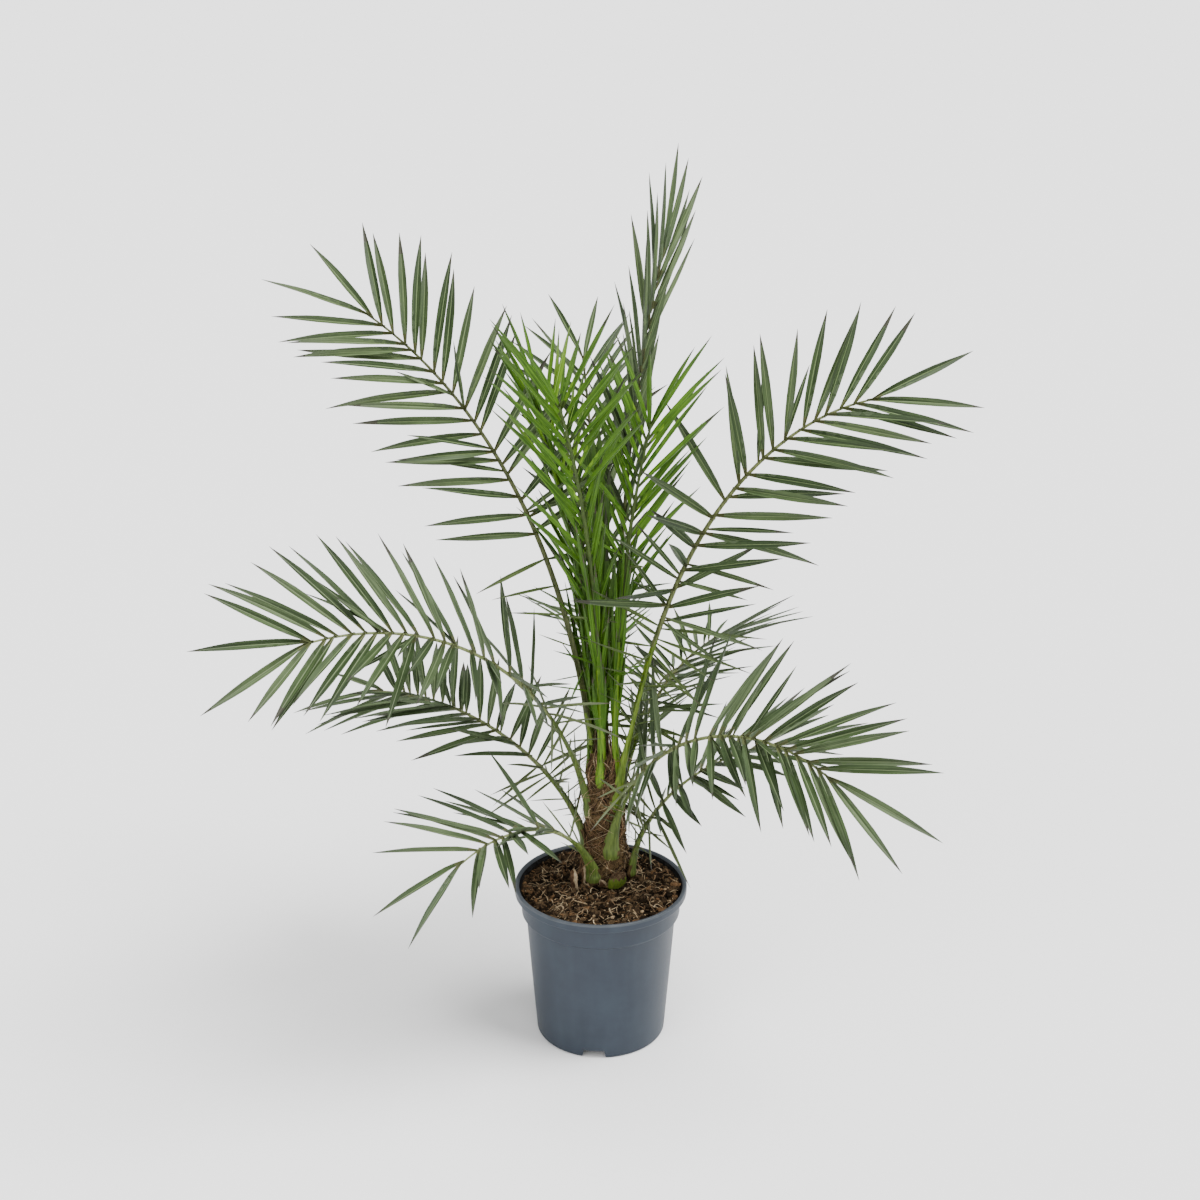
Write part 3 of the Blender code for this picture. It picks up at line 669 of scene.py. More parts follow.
@dataclass
class Pot:
    """The nursery pot: rolled lip, stepped collar, foot ring with three drain notches."""

    height: float = 0.228
    rim_radius: float = 0.120
    foot_radius: float = 0.0905
    wall: float = 0.0026
    lip_top: float = 0.0035
    lip_drop: float = 0.0075
    lip_underside: float = 0.0135
    collar_bottom: float = 0.183
    collar_radius: float = 0.1108
    body_top_radius: float = 0.1045
    rim_inner_radius: float = 0.1135
    base_plate: float = 0.008
    base_thickness: float = 0.003
    foot_ring_inner: float = 0.080
    centre_foot_radius: float = 0.035
    inner_base_radius: float = 0.0865
    notch_headings: tuple[float, ...] = (264.0, 24.0, 144.0)
    notch_width: float = 0.040
    notch_height: float = 0.0120
    steps: int = 168

    @property
    def floor(self) -> float:
        """Height of the inside of the base."""
        return self.base_plate + self.base_thickness

    def inner_radius(self, height: float) -> float:
        """Radius of the inside face at a height."""
        share = (height - self.floor) / (self.collar_bottom - self.floor)
        top = self.body_top_radius - self.wall
        return self.inner_base_radius + (top - self.inner_base_radius) * min(max(share, 0.0), 1.0)

    def is_inside(self, spot: Vector) -> bool:
        """True on the inner wall and on the inside of the base."""
        radius, hem = math.hypot(spot.x, spot.y), self.height - self.lip_underside
        if spot.z < self.floor - 0.0005:
            return False
        if spot.z < self.collar_bottom:
            return radius < self.inner_radius(spot.z) + self.wall / 2.0
        middle = self.collar_radius - self.wall / 2.0 + max(0.0, spot.z - hem) * 0.5
        return radius < min(middle, self.rim_inner_radius + 0.0004)

    def profile(self) -> list[tuple[float, float]]:
        """The wall's section, from the lip's inner edge round the outside and back inside."""
        top, rim, collar = self.height, self.rim_radius, self.collar_radius
        lip = arc((rim - 0.0030, top - 0.0030), 0.0030, 100.0, 0.0, 8)
        hem = arc((rim - 0.0022, top - self.lip_underside + 0.0030), 0.0019, 0.0, -80.0, 4)
        tuck = arc((collar + 0.0022, top - self.lip_underside - 0.0012), 0.0022, 90.0, 180.0, 4)
        step = arc((collar - 0.0028, self.collar_bottom + 0.0052), 0.0024, 0.0, -60.0, 4)
        foot = arc((self.foot_radius - 0.0036, 0.0036), 0.0036, 0.0, -90.0, 6)
        outside = [*lip, (rim - 0.0002, top - self.lip_drop), *hem, *tuck, *step,
                   (self.body_top_radius, self.collar_bottom),
                   (self.body_top_radius - 0.0004, self.collar_bottom - 0.0020),
                   ((self.body_top_radius + self.foot_radius) / 2, self.collar_bottom / 2), *foot]
        underside = [(self.foot_ring_inner + 0.001, 0.0), (self.foot_ring_inner, self.base_plate),
                     (self.centre_foot_radius + 0.002, self.base_plate),
                     (self.centre_foot_radius, 0.0), (0.0, 0.0)]
        inside = [(0.0, self.floor), (self.inner_base_radius - 0.002, self.floor),
                  (self.inner_base_radius, self.floor + 0.002),
                  (self.body_top_radius - self.wall, self.collar_bottom),
                  (collar - self.wall - 0.002, self.collar_bottom + 0.004),
                  (collar - self.wall, top - self.lip_underside),
                  (self.rim_inner_radius, top - self.lip_top),
                  (self.rim_inner_radius + 0.0012, top - 0.0009),
                  lip[0]]
        return outside + underside + inside

    def notch(self, heading: float) -> bpy.types.Object:
        """A wedge-sided block across the foot ring, which cuts one drain notch."""
        bm = bmesh.new()
        block = bmesh.ops.create_cube(bm, size=1.0)["verts"]
        for vert in block:
            vert.co.y *= 0.7 if vert.co.z > 0.0 else 1.0
        upright = [edge for edge in bm.edges if abs(edge.verts[0].co.z - edge.verts[1].co.z) < 0.1
                   and edge.verts[0].co.z > 0.0]
        length = (self.foot_radius - self.foot_ring_inner) * 2.2
        size = Matrix.Diagonal((length, self.notch_width, self.notch_height * 2.0, 1.0))
        middle = (self.foot_radius + self.foot_ring_inner) / 2.0
        place = Matrix.Translation((middle, 0.0, 0.0))
        turn = Matrix.Rotation(math.radians(heading), 4, "Z")
        bmesh.ops.transform(bm, matrix=turn @ place @ size, verts=bm.verts)
        bmesh.ops.bevel(bm, geom=upright, offset=0.0012, offset_type="OFFSET", affect="EDGES",
                        segments=3, profile=0.5, material=-1, clamp_overlap=True)
        bmesh.ops.recalc_face_normals(bm, faces=bm.faces)
        return link("notch_block", mesh_of(bm, "notch_block"))

    def build(self, shop: Workshop) -> None:
        """Turn the pot, cut its notches and dress it."""
        body = turn_profile(self.profile(), self.steps)
        bmesh.ops.recalc_face_normals(body, faces=body.faces)
        rough = link("pot_body", mesh_of(body, "pot_body"))
        blocks = [self.notch(heading) for heading in self.notch_headings]
        for block in blocks:
            cut = rough.modifiers.new("notch", "BOOLEAN")
            cut.operation = "DIFFERENCE"
            cut.object = block
        bm = bmesh.new()
        bm.from_object(rough, bpy.context.evaluated_depsgraph_get())
        for item in (*blocks, rough):
            bpy.data.objects.remove(item, do_unlink=True)
        for face in bm.faces:
            spot = face.calc_center_median()
            inside = self.is_inside(spot)
            # Faces on top of the lip take the lighter lip finish: a painted highlight where the rim
            # catches the light.
            on_lip = spot.z > self.height - self.lip_top and not inside
            face.material_index = 2 if on_lip else int(inside)
        shop.piece(bm, "moulded_pot", POT, "pot_plastic", ["pot"], 50.0)


# Compost -------------------------------

COMPOST = (
    CrumbFinish("compost_brown", (0.074, 0.048, 0.026), (0.012, 0.007, 0.004)),
    # The second finish is near black: painted shade in the compost's low spots and along the pot
    # wall.
    CrumbFinish("compost_hollow_shade", (0.016, 0.010, 0.005), (0.003, 0.002, 0.001)),
)
CHIPS = (
    CrumbFinish("chip_dark", (0.022, 0.014, 0.008), (0.006, 0.004, 0.002)),
    CrumbFinish("chip_brown", (0.105, 0.070, 0.038), (0.040, 0.025, 0.013)),
    CrumbFinish("chip_rust", (0.165, 0.095, 0.046), (0.070, 0.038, 0.018)),
    CrumbFinish("chip_straw", (0.360, 0.270, 0.165), (0.200, 0.138, 0.078)),
)
ROOT_HAIRS = (
    FibreFinish("root_hair_pale", (0.250, 0.180, 0.105), (0.430, 0.340, 0.220), 1.0),
    FibreFinish("root_hair_brown", (0.095, 0.056, 0.028), (0.210, 0.135, 0.075), 1.0),
)


class Chip(NamedTuple):
    """One kind of chip in the compost."""

    size: Vector
    weights: tuple[float, float, float, float]


class Hollow(NamedTuple):
    """A dip in the compost: its place, radius and depth."""

    x: float
    y: float
    radius: float
    depth: float


@dataclass
class Compost:
    """The compost: an uneven top with chips and root hairs on it."""

    pot: Pot
    top: float = 0.2235
    edge_height: float = 0.2205
    mound_radius: float = 0.082
    clod_height: float = 0.0060
    crumb_height: float = 0.0022
    settle: float = 0.0010
    gap: float = 0.0003
    hollows: tuple[Hollow, ...] = (
        Hollow(-0.071, 0.062, 0.026, 0.0060), Hollow(-0.030, -0.016, 0.018, 0.0045),
        Hollow(0.060, -0.010, 0.014, 0.0025), Hollow(-0.020, -0.075, 0.016, 0.0020))
    rings: int = 74
    steps: int = 208
    chips: int = 2400
    hairs: int = 300
    seed: int = 5

    @property
    def edge_radius(self) -> float:
        """Radius of the compost at its top edge, inside the flared rim."""
        return self.neck_radius + 0.0028

    @property
    def neck_radius(self) -> float:
        """Radius of the compost inside the collar."""
        return self.pot.collar_radius - self.pot.wall - self.gap - 0.0004

    def level(self, radius: float) -> float:
        """Height of the smooth mound at a radius."""
        share = max(0.0, (radius - self.mound_radius) / (self.edge_radius - self.mound_radius))
        return self.top + (self.edge_height - self.top) * min(share, 1.0)

    def relief(self, x: float, y: float) -> float:
        """Height of the clods above the smooth mound."""
        place = Vector((x, y, 0.0))
        clods = fractal(place + Vector((3.1, 0.0, 0.0)), 52.0)
        crumbs = fractal(place + Vector((0.0, 7.7, 0.0)), 200.0)
        radius = math.hypot(x, y)
        hold = min(1.0, max(0.0, (self.edge_radius + 0.002 - radius) / 0.008))
        dip = 0.0
        for hollow in self.hollows:
            away = math.hypot(x - hollow.x, y - hollow.y) / hollow.radius
            dip += hollow.depth * max(0.0, 1.0 - away * away) ** 2
        rough = self.clod_height * clods + self.crumb_height * crumbs
        return (rough - dip) * hold - self.settle

    def ground(self, x: float, y: float) -> float:
        """Height of the compost at a place."""
        return self.level(math.hypot(x, y)) + self.relief(x, y)

    def scatter(self, dice: random.Random, reach: float) -> tuple[float, float]:
        """Draw a place on the ground within a share of its radius, evenly spread."""
        radius = self.edge_radius * math.sqrt(dice.random()) * reach
        heading = dice.uniform(0.0, 2.0 * math.pi)
        return radius * math.cos(heading), radius * math.sin(heading)

    def build_ground(self, shop: Workshop) -> None:
        """Turn the filling and raise its clods."""
        bottom = self.pot.floor + self.gap
        profile = [(self.edge_radius * index / self.rings, self.top)
                   for index in range(self.rings + 1)]
        profile += [(self.neck_radius, self.pot.height - self.pot.lip_underside),
                    (self.neck_radius - 0.0012, self.pot.collar_bottom + 0.0040),
                    (self.pot.inner_radius(self.pot.collar_bottom) - self.gap * 2.0,
                     self.pot.collar_bottom - 0.0006),
                    (self.pot.inner_base_radius - 0.004, bottom), (0.0, bottom)]
        bm = turn_profile(profile, self.steps)
        for vert in bm.verts:
            if vert.co.z > self.top - 0.0001:
                vert.co.z = self.ground(vert.co.x, vert.co.y)
        for face in bm.faces:
            middle = face.calc_center_median()
            # Faces below the smooth mound, which takes in the ring along the pot wall, and the
            # buried sides take the near-black finish: painted shade in the low spots.
            deep = self.relief(middle.x, middle.y) < -0.0009
            face.material_index = 1 if deep or middle.z < self.edge_height - 0.004 else 0
        shop.piece(bm, "compost_ground", COMPOST, "compost", ["soil"], 80.0)

    def build_chips(self, shop: Workshop) -> None:
        """Scatter bark chips, crumbs and splinters over the ground."""
        dice = random.Random(self.seed)
        kinds = (Chip(Vector((0.0034, 0.0024, 0.0012)), (5.0, 5.0, 1.4, 0.5)),
                 Chip(Vector((0.0014, 0.0013, 0.0010)), (5.0, 4.0, 2.4, 1.0)),
                 Chip(Vector((0.0062, 0.0011, 0.0007)), (1.0, 3.0, 2.0, 2.6)),
                 Chip(Vector((0.0066, 0.0048, 0.0024)), (5.0, 4.0, 0.8, 0.1)))
        bm = bmesh.new()
        for _ in range(self.chips):
            kind = dice.choices(kinds, (5.0, 9.0, 3.0, 1.2))[0]
            x, y = self.scatter(dice, 0.985)
            size = kind.size * dice.uniform(0.55, 1.25)
            spot = Vector((x, y, self.ground(x, y) + size.z * dice.uniform(0.0, 0.9)))
            turn = Matrix.Rotation(dice.uniform(0.0, 6.3), 4, "Z")
            tip = Matrix.Rotation(dice.gauss(0.0, 0.45), 4, "X")
            roll = Matrix.Rotation(dice.gauss(0.0, 0.35), 4, "Y")
            grow = Matrix.Diagonal((*size, 1.0))
            made = bmesh.ops.create_icosphere(bm, subdivisions=1, radius=1.0)["verts"]
            for vert in made:
                vert.co *= dice.uniform(0.7, 1.2)
            place = Matrix.Translation(spot) @ turn @ tip @ roll @ grow
            bmesh.ops.transform(bm, matrix=place, verts=made)
            colour = dice.choices(range(len(CHIPS)), kind.weights)[0]
            for face in {face for vert in made for face in vert.link_faces}:
                face.material_index = colour
        shop.piece(bm, "compost_chips", CHIPS, "compost", crease=25.0)

    def draw_hair(self, dice: random.Random, number: int) -> Fibre:
        """Draw one curled root hair or straw that lies on the ground."""
        start = Vector((*self.scatter(dice, 0.93), 0.0))
        length = dice.uniform(0.007, 0.022) * (1.6 if dice.random() < 0.15 else 1.0)
        aim, curl = dice.uniform(0.0, 6.3), dice.gauss(0.0, 1.1)
        hop, lift = dice.uniform(0.0, 0.0035), dice.uniform(0.0003, 0.0012)
        limit = self.edge_radius - 0.001

        def line(share: float) -> Vector:
            """Place along the hair."""
            angle = aim + curl * share
            place = start + Vector((math.cos(angle), math.sin(angle), 0.0)) * length * share
            reach = math.hypot(place.x, place.y)
            if reach > limit:
                place *= limit / reach
            rise = self.level(math.hypot(place.x, place.y)) + self.relief(place.x, place.y) * 0.7
            place.z = rise + lift + hop * hump(share)
            return place

        width = 0.00035 + 0.00085 * dice.random() ** 2
        return Fibre(line, width, 0 if dice.random() < 0.55 else 1, 0.5)

    def build(self, shop: Workshop, strands: Strands) -> None:
        """Build the ground and what lies on it."""
        self.build_ground(shop)
        self.build_chips(shop)
        strands.piece("compost_root_hairs", ROOT_HAIRS, "compost", self.hairs, self.seed + 1,
                      self.draw_hair)


# Trunk ---------------------------------

TRUNK = (
    FibreFinish("trunk_brown", (0.026, 0.016, 0.006), (0.140, 0.094, 0.042), 0.35),
    # The second finish is near black: painted shade in the crevices between the old leaf bases.
    FibreFinish("trunk_crevice_shade", (0.004, 0.002, 0.001), (0.020, 0.012, 0.005), 0.35),
)
STRANDS = (
    FibreFinish("strand_rust", (0.130, 0.072, 0.036), (0.260, 0.165, 0.092), 0.6),
    FibreFinish("strand_brown", (0.066, 0.042, 0.018), (0.150, 0.104, 0.050), 0.6),
    FibreFinish("strand_dark", (0.012, 0.006, 0.004), (0.035, 0.019, 0.011), 0.6),
    FibreFinish("strand_straw", (0.270, 0.195, 0.112), (0.440, 0.345, 0.220), 0.6),
)


@dataclass
class Trunk:
    """The short trunk: overlapping old leaf bases under a net of their own fibres."""

    axis: Vector = field(default_factory=lambda: Vector((0.007, 0.030, 0.0)))
    foot: float = 0.2238
    top: float = 0.401
    lean: Vector = field(default_factory=lambda: Vector((-0.002, -0.003, 0.0)))
    radii: tuple[tuple[float, float], ...] = (
        (0.000, 0.0395), (0.010, 0.0350), (0.030, 0.0300), (0.060, 0.0265),
        (0.095, 0.0245), (0.130, 0.0220), (0.160, 0.0195), (0.1772, 0.0165))
    sides: int = 132
    levels: int = 104
    bases: int = 30
    base_rise: float = 0.0062
    base_height: float = 0.040
    base_half_width: float = 0.021
    base_narrowing: float = 0.012
    base_lip: float = 0.0022
    base_crown: float = 0.0006
    groove: float = -0.0016
    thread_height: float = 0.0007
    golden_turn: float = 137.5
    strand_count: int = 900
    ribbon_count: int = 26
    curl_count: int = 170
    collar_count: int = 420
    sink: float = 0.006
    seed: int = 8

    def centre(self, height: float) -> Vector:
        """Centre of the trunk at a height above the ground."""
        share = (height - self.foot) / (self.top - self.foot)
        return self.axis + self.lean * share + UP * height

    def radius(self, height: float) -> float:
        """Radius of the smooth trunk at a height."""
        rise = min(max(height - self.foot, 0.0), self.radii[-1][0])
        for (low, wide), (high, narrow) in zip(self.radii, self.radii[1:]):
            if rise <= high:
                share = (rise - low) / (high - low)
                return wide + (narrow - wide) * share
        return self.radii[-1][1]

    def relief(self, heading: float, height: float) -> float:
        """Height of the old leaf bases above the smooth trunk.

        Args:
            heading: Direction from the axis, in degrees.
            height: Height above the ground.

        Returns:
            The relief in metres.
        """
        best, around = self.groove, self.radius(height)
        for index in range(self.bases):
            middle = index * self.golden_turn
            rise = (height - (self.foot - 0.012 + index * self.base_rise)) / self.base_height
            if not 0.0 <= rise <= 1.0:
                continue
            off = (heading - middle + 180.0) % 360.0 - 180.0
            ragged = 1.0 + 0.10 * math.sin(index * 5.1 + rise * 9.0)
            half = (self.base_half_width - self.base_narrowing * rise) * ragged
            across = math.radians(off) * around / half
            if abs(across) < 1.0:
                lip = self.base_lip * rise ** 0.7 * min(1.0, (1.0 - rise) * 12.0)
                crown = self.base_crown * math.cos(across * 2.0)
                best = max(best, lip * (1.0 - across ** 4) + crown)
        threads = fractal(level_way(heading) * around + UP * height * 0.25, 420.0)
        return best + self.thread_height * threads

    def surface(self, heading: float, height: float, stand: float = 0.0) -> Vector:
        """A place on the trunk, or off it by the given distance."""
        reach = self.radius(height) + self.relief(heading, height) + stand
        return self.centre(height) + level_way(heading) * reach

    def build_core(self, shop: Workshop) -> None:
        """Turn the trunk and raise its old leaf bases."""
        bottom = self.foot - self.sink
        span = self.top - bottom
        profile = [(0.0, bottom)]
        profile += [(0.03, bottom + span * index / self.levels)
                    for index in range(self.levels + 1)]
        profile += [(0.014, self.top + 0.002), (0.0, self.top + 0.003)]
        bm = turn_profile(profile, self.sides)
        for vert in bm.verts:
            out = math.hypot(vert.co.x, vert.co.y)
            if out < 0.001:
                vert.co = self.centre(vert.co.z)
                continue
            heading = math.degrees(math.atan2(vert.co.y, vert.co.x))
            height = min(vert.co.z, self.top)
            on_wall = out > 0.02
            rough = self.relief(heading, height) if on_wall else 0.0
            reach = self.radius(height) * (1.0 if on_wall else out / 0.03) + rough
            away = Vector((vert.co.x, vert.co.y, 0.0)).normalized() * reach
            vert.co = self.centre(vert.co.z) + away
        for face in bm.faces:
            spot = face.calc_center_median()
            away = spot - self.centre(spot.z)
            heading = math.degrees(math.atan2(away.y, away.x))
            # Faces sunk between the leaf bases take the near-black finish: painted shade in the
            # crevices.
            face.material_index = 1 if self.relief(heading, spot.z) < 0.0002 else 0
        shop.piece(bm, "trunk_bases", TRUNK, "trunk_fibre", ["trunk"])

    def wrapped(self, dice: random.Random, heading: float, height: float, length: float,
                slopes: tuple[float, float]) -> Callable[[float, float, float], Vector]:
        """Draw the slope of a fibre that winds round the trunk.

        Args:
            dice: Draws its slope, up or down.
            heading: Direction of its middle, in degrees.
            height: Height of its middle.
            length: Its length.
            slopes: Least and greatest slope in degrees.

        Returns:
            Gives a place from a share, the lowest height and the stand off the bark.
        """
        slope = math.radians(dice.choice((-1.0, 1.0)) * dice.uniform(*slopes))
        turn = math.degrees(length * math.cos(slope) / self.radius(height))
        climb = length * math.sin(slope)

        def spot(share: float, lowest: float, stand: float) -> Vector:
            """Place on the winding line."""
            level = min(max(height + climb * (share - 0.5), lowest), self.top + 0.004)
            return self.surface(heading + turn * (share - 0.5), level, stand)

        return spot

    def draw_strand(self, dice: random.Random, number: int) -> Fibre:
        """Draw one of the crossing fibres that net the trunk."""
        heading = dice.uniform(0.0, 360.0)
        height = dice.uniform(self.foot + 0.001, self.top - 0.004)
        spot = self.wrapped(dice, heading, height, dice.uniform(0.018, 0.050), (22.0, 66.0))
        stand, bow = dice.uniform(0.0002, 0.0016), dice.uniform(0.0, 0.0022)
        kind = dice.choices(range(4), (4.0, 3.5, 3.0, 1.1))[0]
        return Fibre(lambda share: spot(share, self.foot, stand + bow * hump(share)),
                     0.00024 + 0.00055 * dice.random() ** 2, kind)

    def draw_ribbon(self, dice: random.Random, number: int) -> Fibre:
        """Draw one of the broad pale ribbons of torn sheath across the trunk."""
        heading = number * self.golden_turn + dice.uniform(-20.0, 20.0)
        height = dice.uniform(self.foot + 0.012, self.top - 0.010)
        spot = self.wrapped(dice, heading, height, dice.uniform(0.035, 0.070), (8.0, 38.0))
        slack = dice.uniform(0.0010, 0.0060)
        kind = dice.choices((0, 3), (1.0, 2.0))[0]
        return Fibre(lambda share: spot(share, self.foot + 0.001, 0.0006 + slack * hump(share)),
                     dice.uniform(0.0007, 0.0013), kind, 0.5)

    def draw_curl(self, dice: random.Random, number: int) -> Fibre:
        """Draw a loose fibre that curls away from the trunk or from between the stalks."""
        heading = dice.uniform(0.0, 360.0)
        height = self.foot + (self.top - self.foot + 0.012) * dice.random() ** 0.6
        length = dice.uniform(0.014, 0.045)
        pitch = dice.uniform(-0.2, 1.1)
        aim, curl = math.radians(heading + dice.gauss(0.0, 55.0)), dice.gauss(0.0, 1.3)
        start = self.surface(heading, min(height, self.top), -0.001)
        start.z = height

        def line(share: float) -> Vector:
            """Place along the curl."""
            turn, lean = aim + curl * share, pitch - 1.2 * share
            return start + Vector((math.cos(turn) * math.cos(lean),
                                   math.sin(turn) * math.cos(lean),
                                   math.sin(lean))) * (length * share)

        kind = dice.choices(range(4), (2.0, 3.0, 1.0, 4.0))[0]
        return Fibre(line, dice.uniform(0.00025, 0.00055), kind)

    def draw_collar_fibre(self, dice: random.Random, number: int) -> Fibre:
        """Draw a ragged fibre of the youngest sheaths, upright at the feet of the stalks."""
        heading = dice.uniform(0.0, 360.0)
        height = self.top - dice.uniform(0.004, 0.022)
        inset = 1.0 if dice.random() < 0.5 else dice.uniform(0.1, 0.85)
        climb = (0.008 if inset == 1.0 else 0.040) + 0.044 * dice.random() ** 1.4
        turn, stand = dice.gauss(0.0, 24.0), dice.uniform(0.0004, 0.0034)

        def line(share: float) -> Vector:
            """Place along the fibre."""
            spot = self.surface(heading + turn * share, height + climb * share,
                                stand - 0.0022 * share)
            return self.centre(spot.z).lerp(spot, inset)

        kind = dice.choices(range(4), (2.0, 4.0, 3.0, 1.0))[0]
        return Fibre(line, 0.0003 + 0.0009 * dice.random() ** 2, kind, 0.6)

    def build(self, shop: Workshop, strands: Strands) -> None:
        """Build the trunk and its fibres."""
        self.build_core(shop)
        for name, count, offset, draw in (
                ("trunk_strands", self.strand_count, 0, self.draw_strand),
                ("trunk_ribbons", self.ribbon_count, 2, self.draw_ribbon),
                ("trunk_curls", self.curl_count, 1, self.draw_curl),
                ("trunk_collar", self.collar_count, 3, self.draw_collar_fibre)):
            strands.piece(name, STRANDS, "trunk_fibre", count, self.seed + offset, draw)


# Cut leaf base and dry scraps ----------

CUT_SKIN = StalkFinish("cut_skin", (0.115, 0.165, 0.020), (0.065, 0.105, 0.012),
                       (0.070, 0.060, 0.018))
CUT_TOP = FibreFinish("cut_top_dry", (0.020, 0.011, 0.006), (0.150, 0.098, 0.055), 1.0)
SCRAP = FibreFinish("scrap_brown", (0.050, 0.026, 0.013), (0.130, 0.078, 0.042), 0.3)
SCRAP_EDGE = FibreFinish("scrap_edge", (0.260, 0.195, 0.120), (0.420, 0.335, 0.220), 0.3)


@dataclass
class CutBase:
    """The stub of a pruned leaf: a fleshy crescent with a dry, torn top."""

    trunk: Trunk
    heading: float = -67.0
    reach: float = 0.0375
    height: float = 0.024
    width: float = 0.025
    depth: float = 0.014
    tilt: float = 22.0
    sides: int = 28
    levels: int = 10

    def build(self, shop: Workshop) -> None:
        """Extrude the crescent, bulge it and hollow its dry top."""
        bm = bmesh.new()
        ring = bmesh.ops.create_circle(bm, cap_ends=True, segments=self.sides, radius=0.5)
        face = ring["verts"][0].link_faces[0]
        outline = [vert.co.copy() for vert in face.verts]
        for index in range(1, self.levels + 1):
            face = extrude_cap(bm, face)
            share = index / self.levels
            bulge = 1.0 + 0.16 * math.sin(math.pi * share) - 0.20 * share
            for vert, flat in zip(face.verts, outline):
                ragged = fractal(Vector((flat.x * 5.0, flat.y * 5.0, share * 2.0)), 1.0)
                vert.co = Vector((flat.x * bulge - 0.10 * flat.y ** 2 * 4.0 * share,
                                  flat.y * bulge, share * (1.0 + 0.10 * ragged)))
        dry = [face]
        for thickness, depth in ((0.07, -0.03), (0.12, -0.10)):
            dry += bmesh.ops.inset_region(bm, faces=[face], thickness=thickness,
                                          depth=depth)["faces"]
        dry += [item for item in bm.faces
                if item.calc_center_median().z > 0.70 + 0.10 * math.sin(item.index * 2.1)]
        for item in dry:
            item.material_index = 1
        size = Matrix.Diagonal((self.depth, self.width, self.height, 1.0))
        shear = Matrix.Identity(4)
        shear[0][2] = math.tan(math.radians(self.tilt))
        turn = Matrix.Rotation(math.radians(self.heading), 4, "Z")
        foot = Matrix.Translation(self.trunk.axis + UP * self.trunk.foot)
        out = Matrix.Translation((self.reach, 0.0, 0.0))
        bmesh.ops.transform(bm, matrix=foot @ turn @ out @ shear @ size, verts=bm.verts)
        shop.piece(bm, "cut_leaf_base_skin", (CUT_SKIN, CUT_TOP), "cut_green",
                   ["cut_leaf_base"], 50.0)


class Scrap(NamedTuple):
    """One dry flake of an old sheath that stands in the compost."""

    foot: Vector
    heading: float
    lean: float
    height: float
    width: float


SCRAPS = (
    Scrap(Vector((-0.0385, -0.0098, 0.2205)), 215.0, 20.0, 0.031, 0.019),
    Scrap(Vector((0.0046, -0.0020, 0.2205)), 255.0, 60.0, 0.024, 0.014),
    Scrap(Vector((-0.0250, 0.0040, 0.2215)), 190.0, 12.0, 0.030, 0.012),
    Scrap(Vector((0.0330, -0.0130, 0.2220)), 300.0, 70.0, 0.016, 0.007),
)


def build_scraps(shop: Workshop) -> None:
    """Stand dry sheath flakes in the compost by the trunk."""
    whole = bmesh.new()
    for number, scrap in enumerate(SCRAPS):
        bm = bmesh.new()
        bmesh.ops.create_grid(bm, x_segments=6, y_segments=9, size=0.5)
        for face in bm.faces:
            face.material_index = 1 if abs(face.calc_center_median().x) > 0.30 else 0
        for vert in bm.verts:
            x, share = vert.co.x, vert.co.y + 0.5
            narrow = (1.0 - share ** 2.2) * 0.9 + 0.10
            wave = fractal(Vector((x * 3.0, share * 3.0, number * 4.0)), 1.0)
            vert.co = Vector((x * narrow * scrap.width,
                              (4.0 * x * x * 0.35 + 0.20 * wave) * scrap.width
                              + scrap.height * 0.25 * share ** 2,
                              share * scrap.height))
        bmesh.ops.solidify(bm, geom=bm.faces[:], thickness=0.0005)
        place = (Matrix.Translation(scrap.foot)
                 @ Matrix.Rotation(math.radians(scrap.heading + 90.0), 4, "Z")
                 @ Matrix.Rotation(math.radians(scrap.lean), 4, "X"))
        bmesh.ops.transform(bm, matrix=place, verts=bm.verts)
        part = mesh_of(bm, "scrap_pattern")
        whole.from_mesh(part)
        bpy.data.meshes.remove(part)
    shop.piece(whole, "dry_scraps", (SCRAP, SCRAP_EDGE), "trunk_fibre", crease=50.0)


# Fronds --------------------------------

RIB_STEPS = 60              # steps in which a frond's rib is walked
RIB_TIP_WIDTH = 0.0028
RIB_TAPER = 1.05
RIB_DEPTH_SHARE = 0.8       # depth of a slender rib for its half width
RIB_DEPTH_FLOOR = 0.0056    # depth of a broad foot: this, and a share of its half width
RIB_DEPTH_GAIN = 0.10
STALK_WIDTH = 0.0062        # of the shortest frond's stalk, above its clasping foot
STALK_WIDTH_GAIN = 0.0085   # added for each metre of the frond's length
CLASP_SCALE = 1.15          # of the foot's width
CLASP_LENGTH = 0.035        # over which the foot narrows to the stalk
CLASP_SHARE = 0.25          # of the rib's length, over which it turns to face the blade
CLASP_RADIUS = 0.06         # to which the foot curves round the trunk
ROOT_SHARE = 0.45           # of the rib's width that a leaflet's root is sunk in
GROUP = 3                   # leaflets stand in threes
CROWDING = 0.88             # slots between the leaflets of a group
FLOP_STEP = 9.0             # degrees between their lifts
SLOT_STRAY = 0.18           # slots that a leaflet may stand off its place
SLOT_CURVE = 0.82           # below 1 the leaflets stand closer towards the tip
SPREAD_CURVE = 1.2          # above 1 the leaflets close up late
ANGLE_STRAY = 4.0           # degrees that every spread strays
LIFT_STRAY = 3.0
LOOSE_SPREAD = 7.0          # further stray of the lower leaflets, in degrees
LOOSE_LIFT = 9.0
LEAF_WIDTH = 0.0135         # of a full-size leaflet
LEAF_LEAST_WIDTH = 0.55     # share of it that the shortest leaflets tend to
LEAF_FULL_LENGTH = 0.16
LEAF_HALF_THICKNESS = 0.0009
LEAF_FOLD = 0.0016          # the edges stand this far above the keel
LEAF_DROOP = 0.03           # of the leaflet's length, at its tip
LEAF_WIDEST_AT = 0.36       # of the leaflet's length
SHUT_SPREAD = 0.42          # of the usual spread, in a row that is still shut
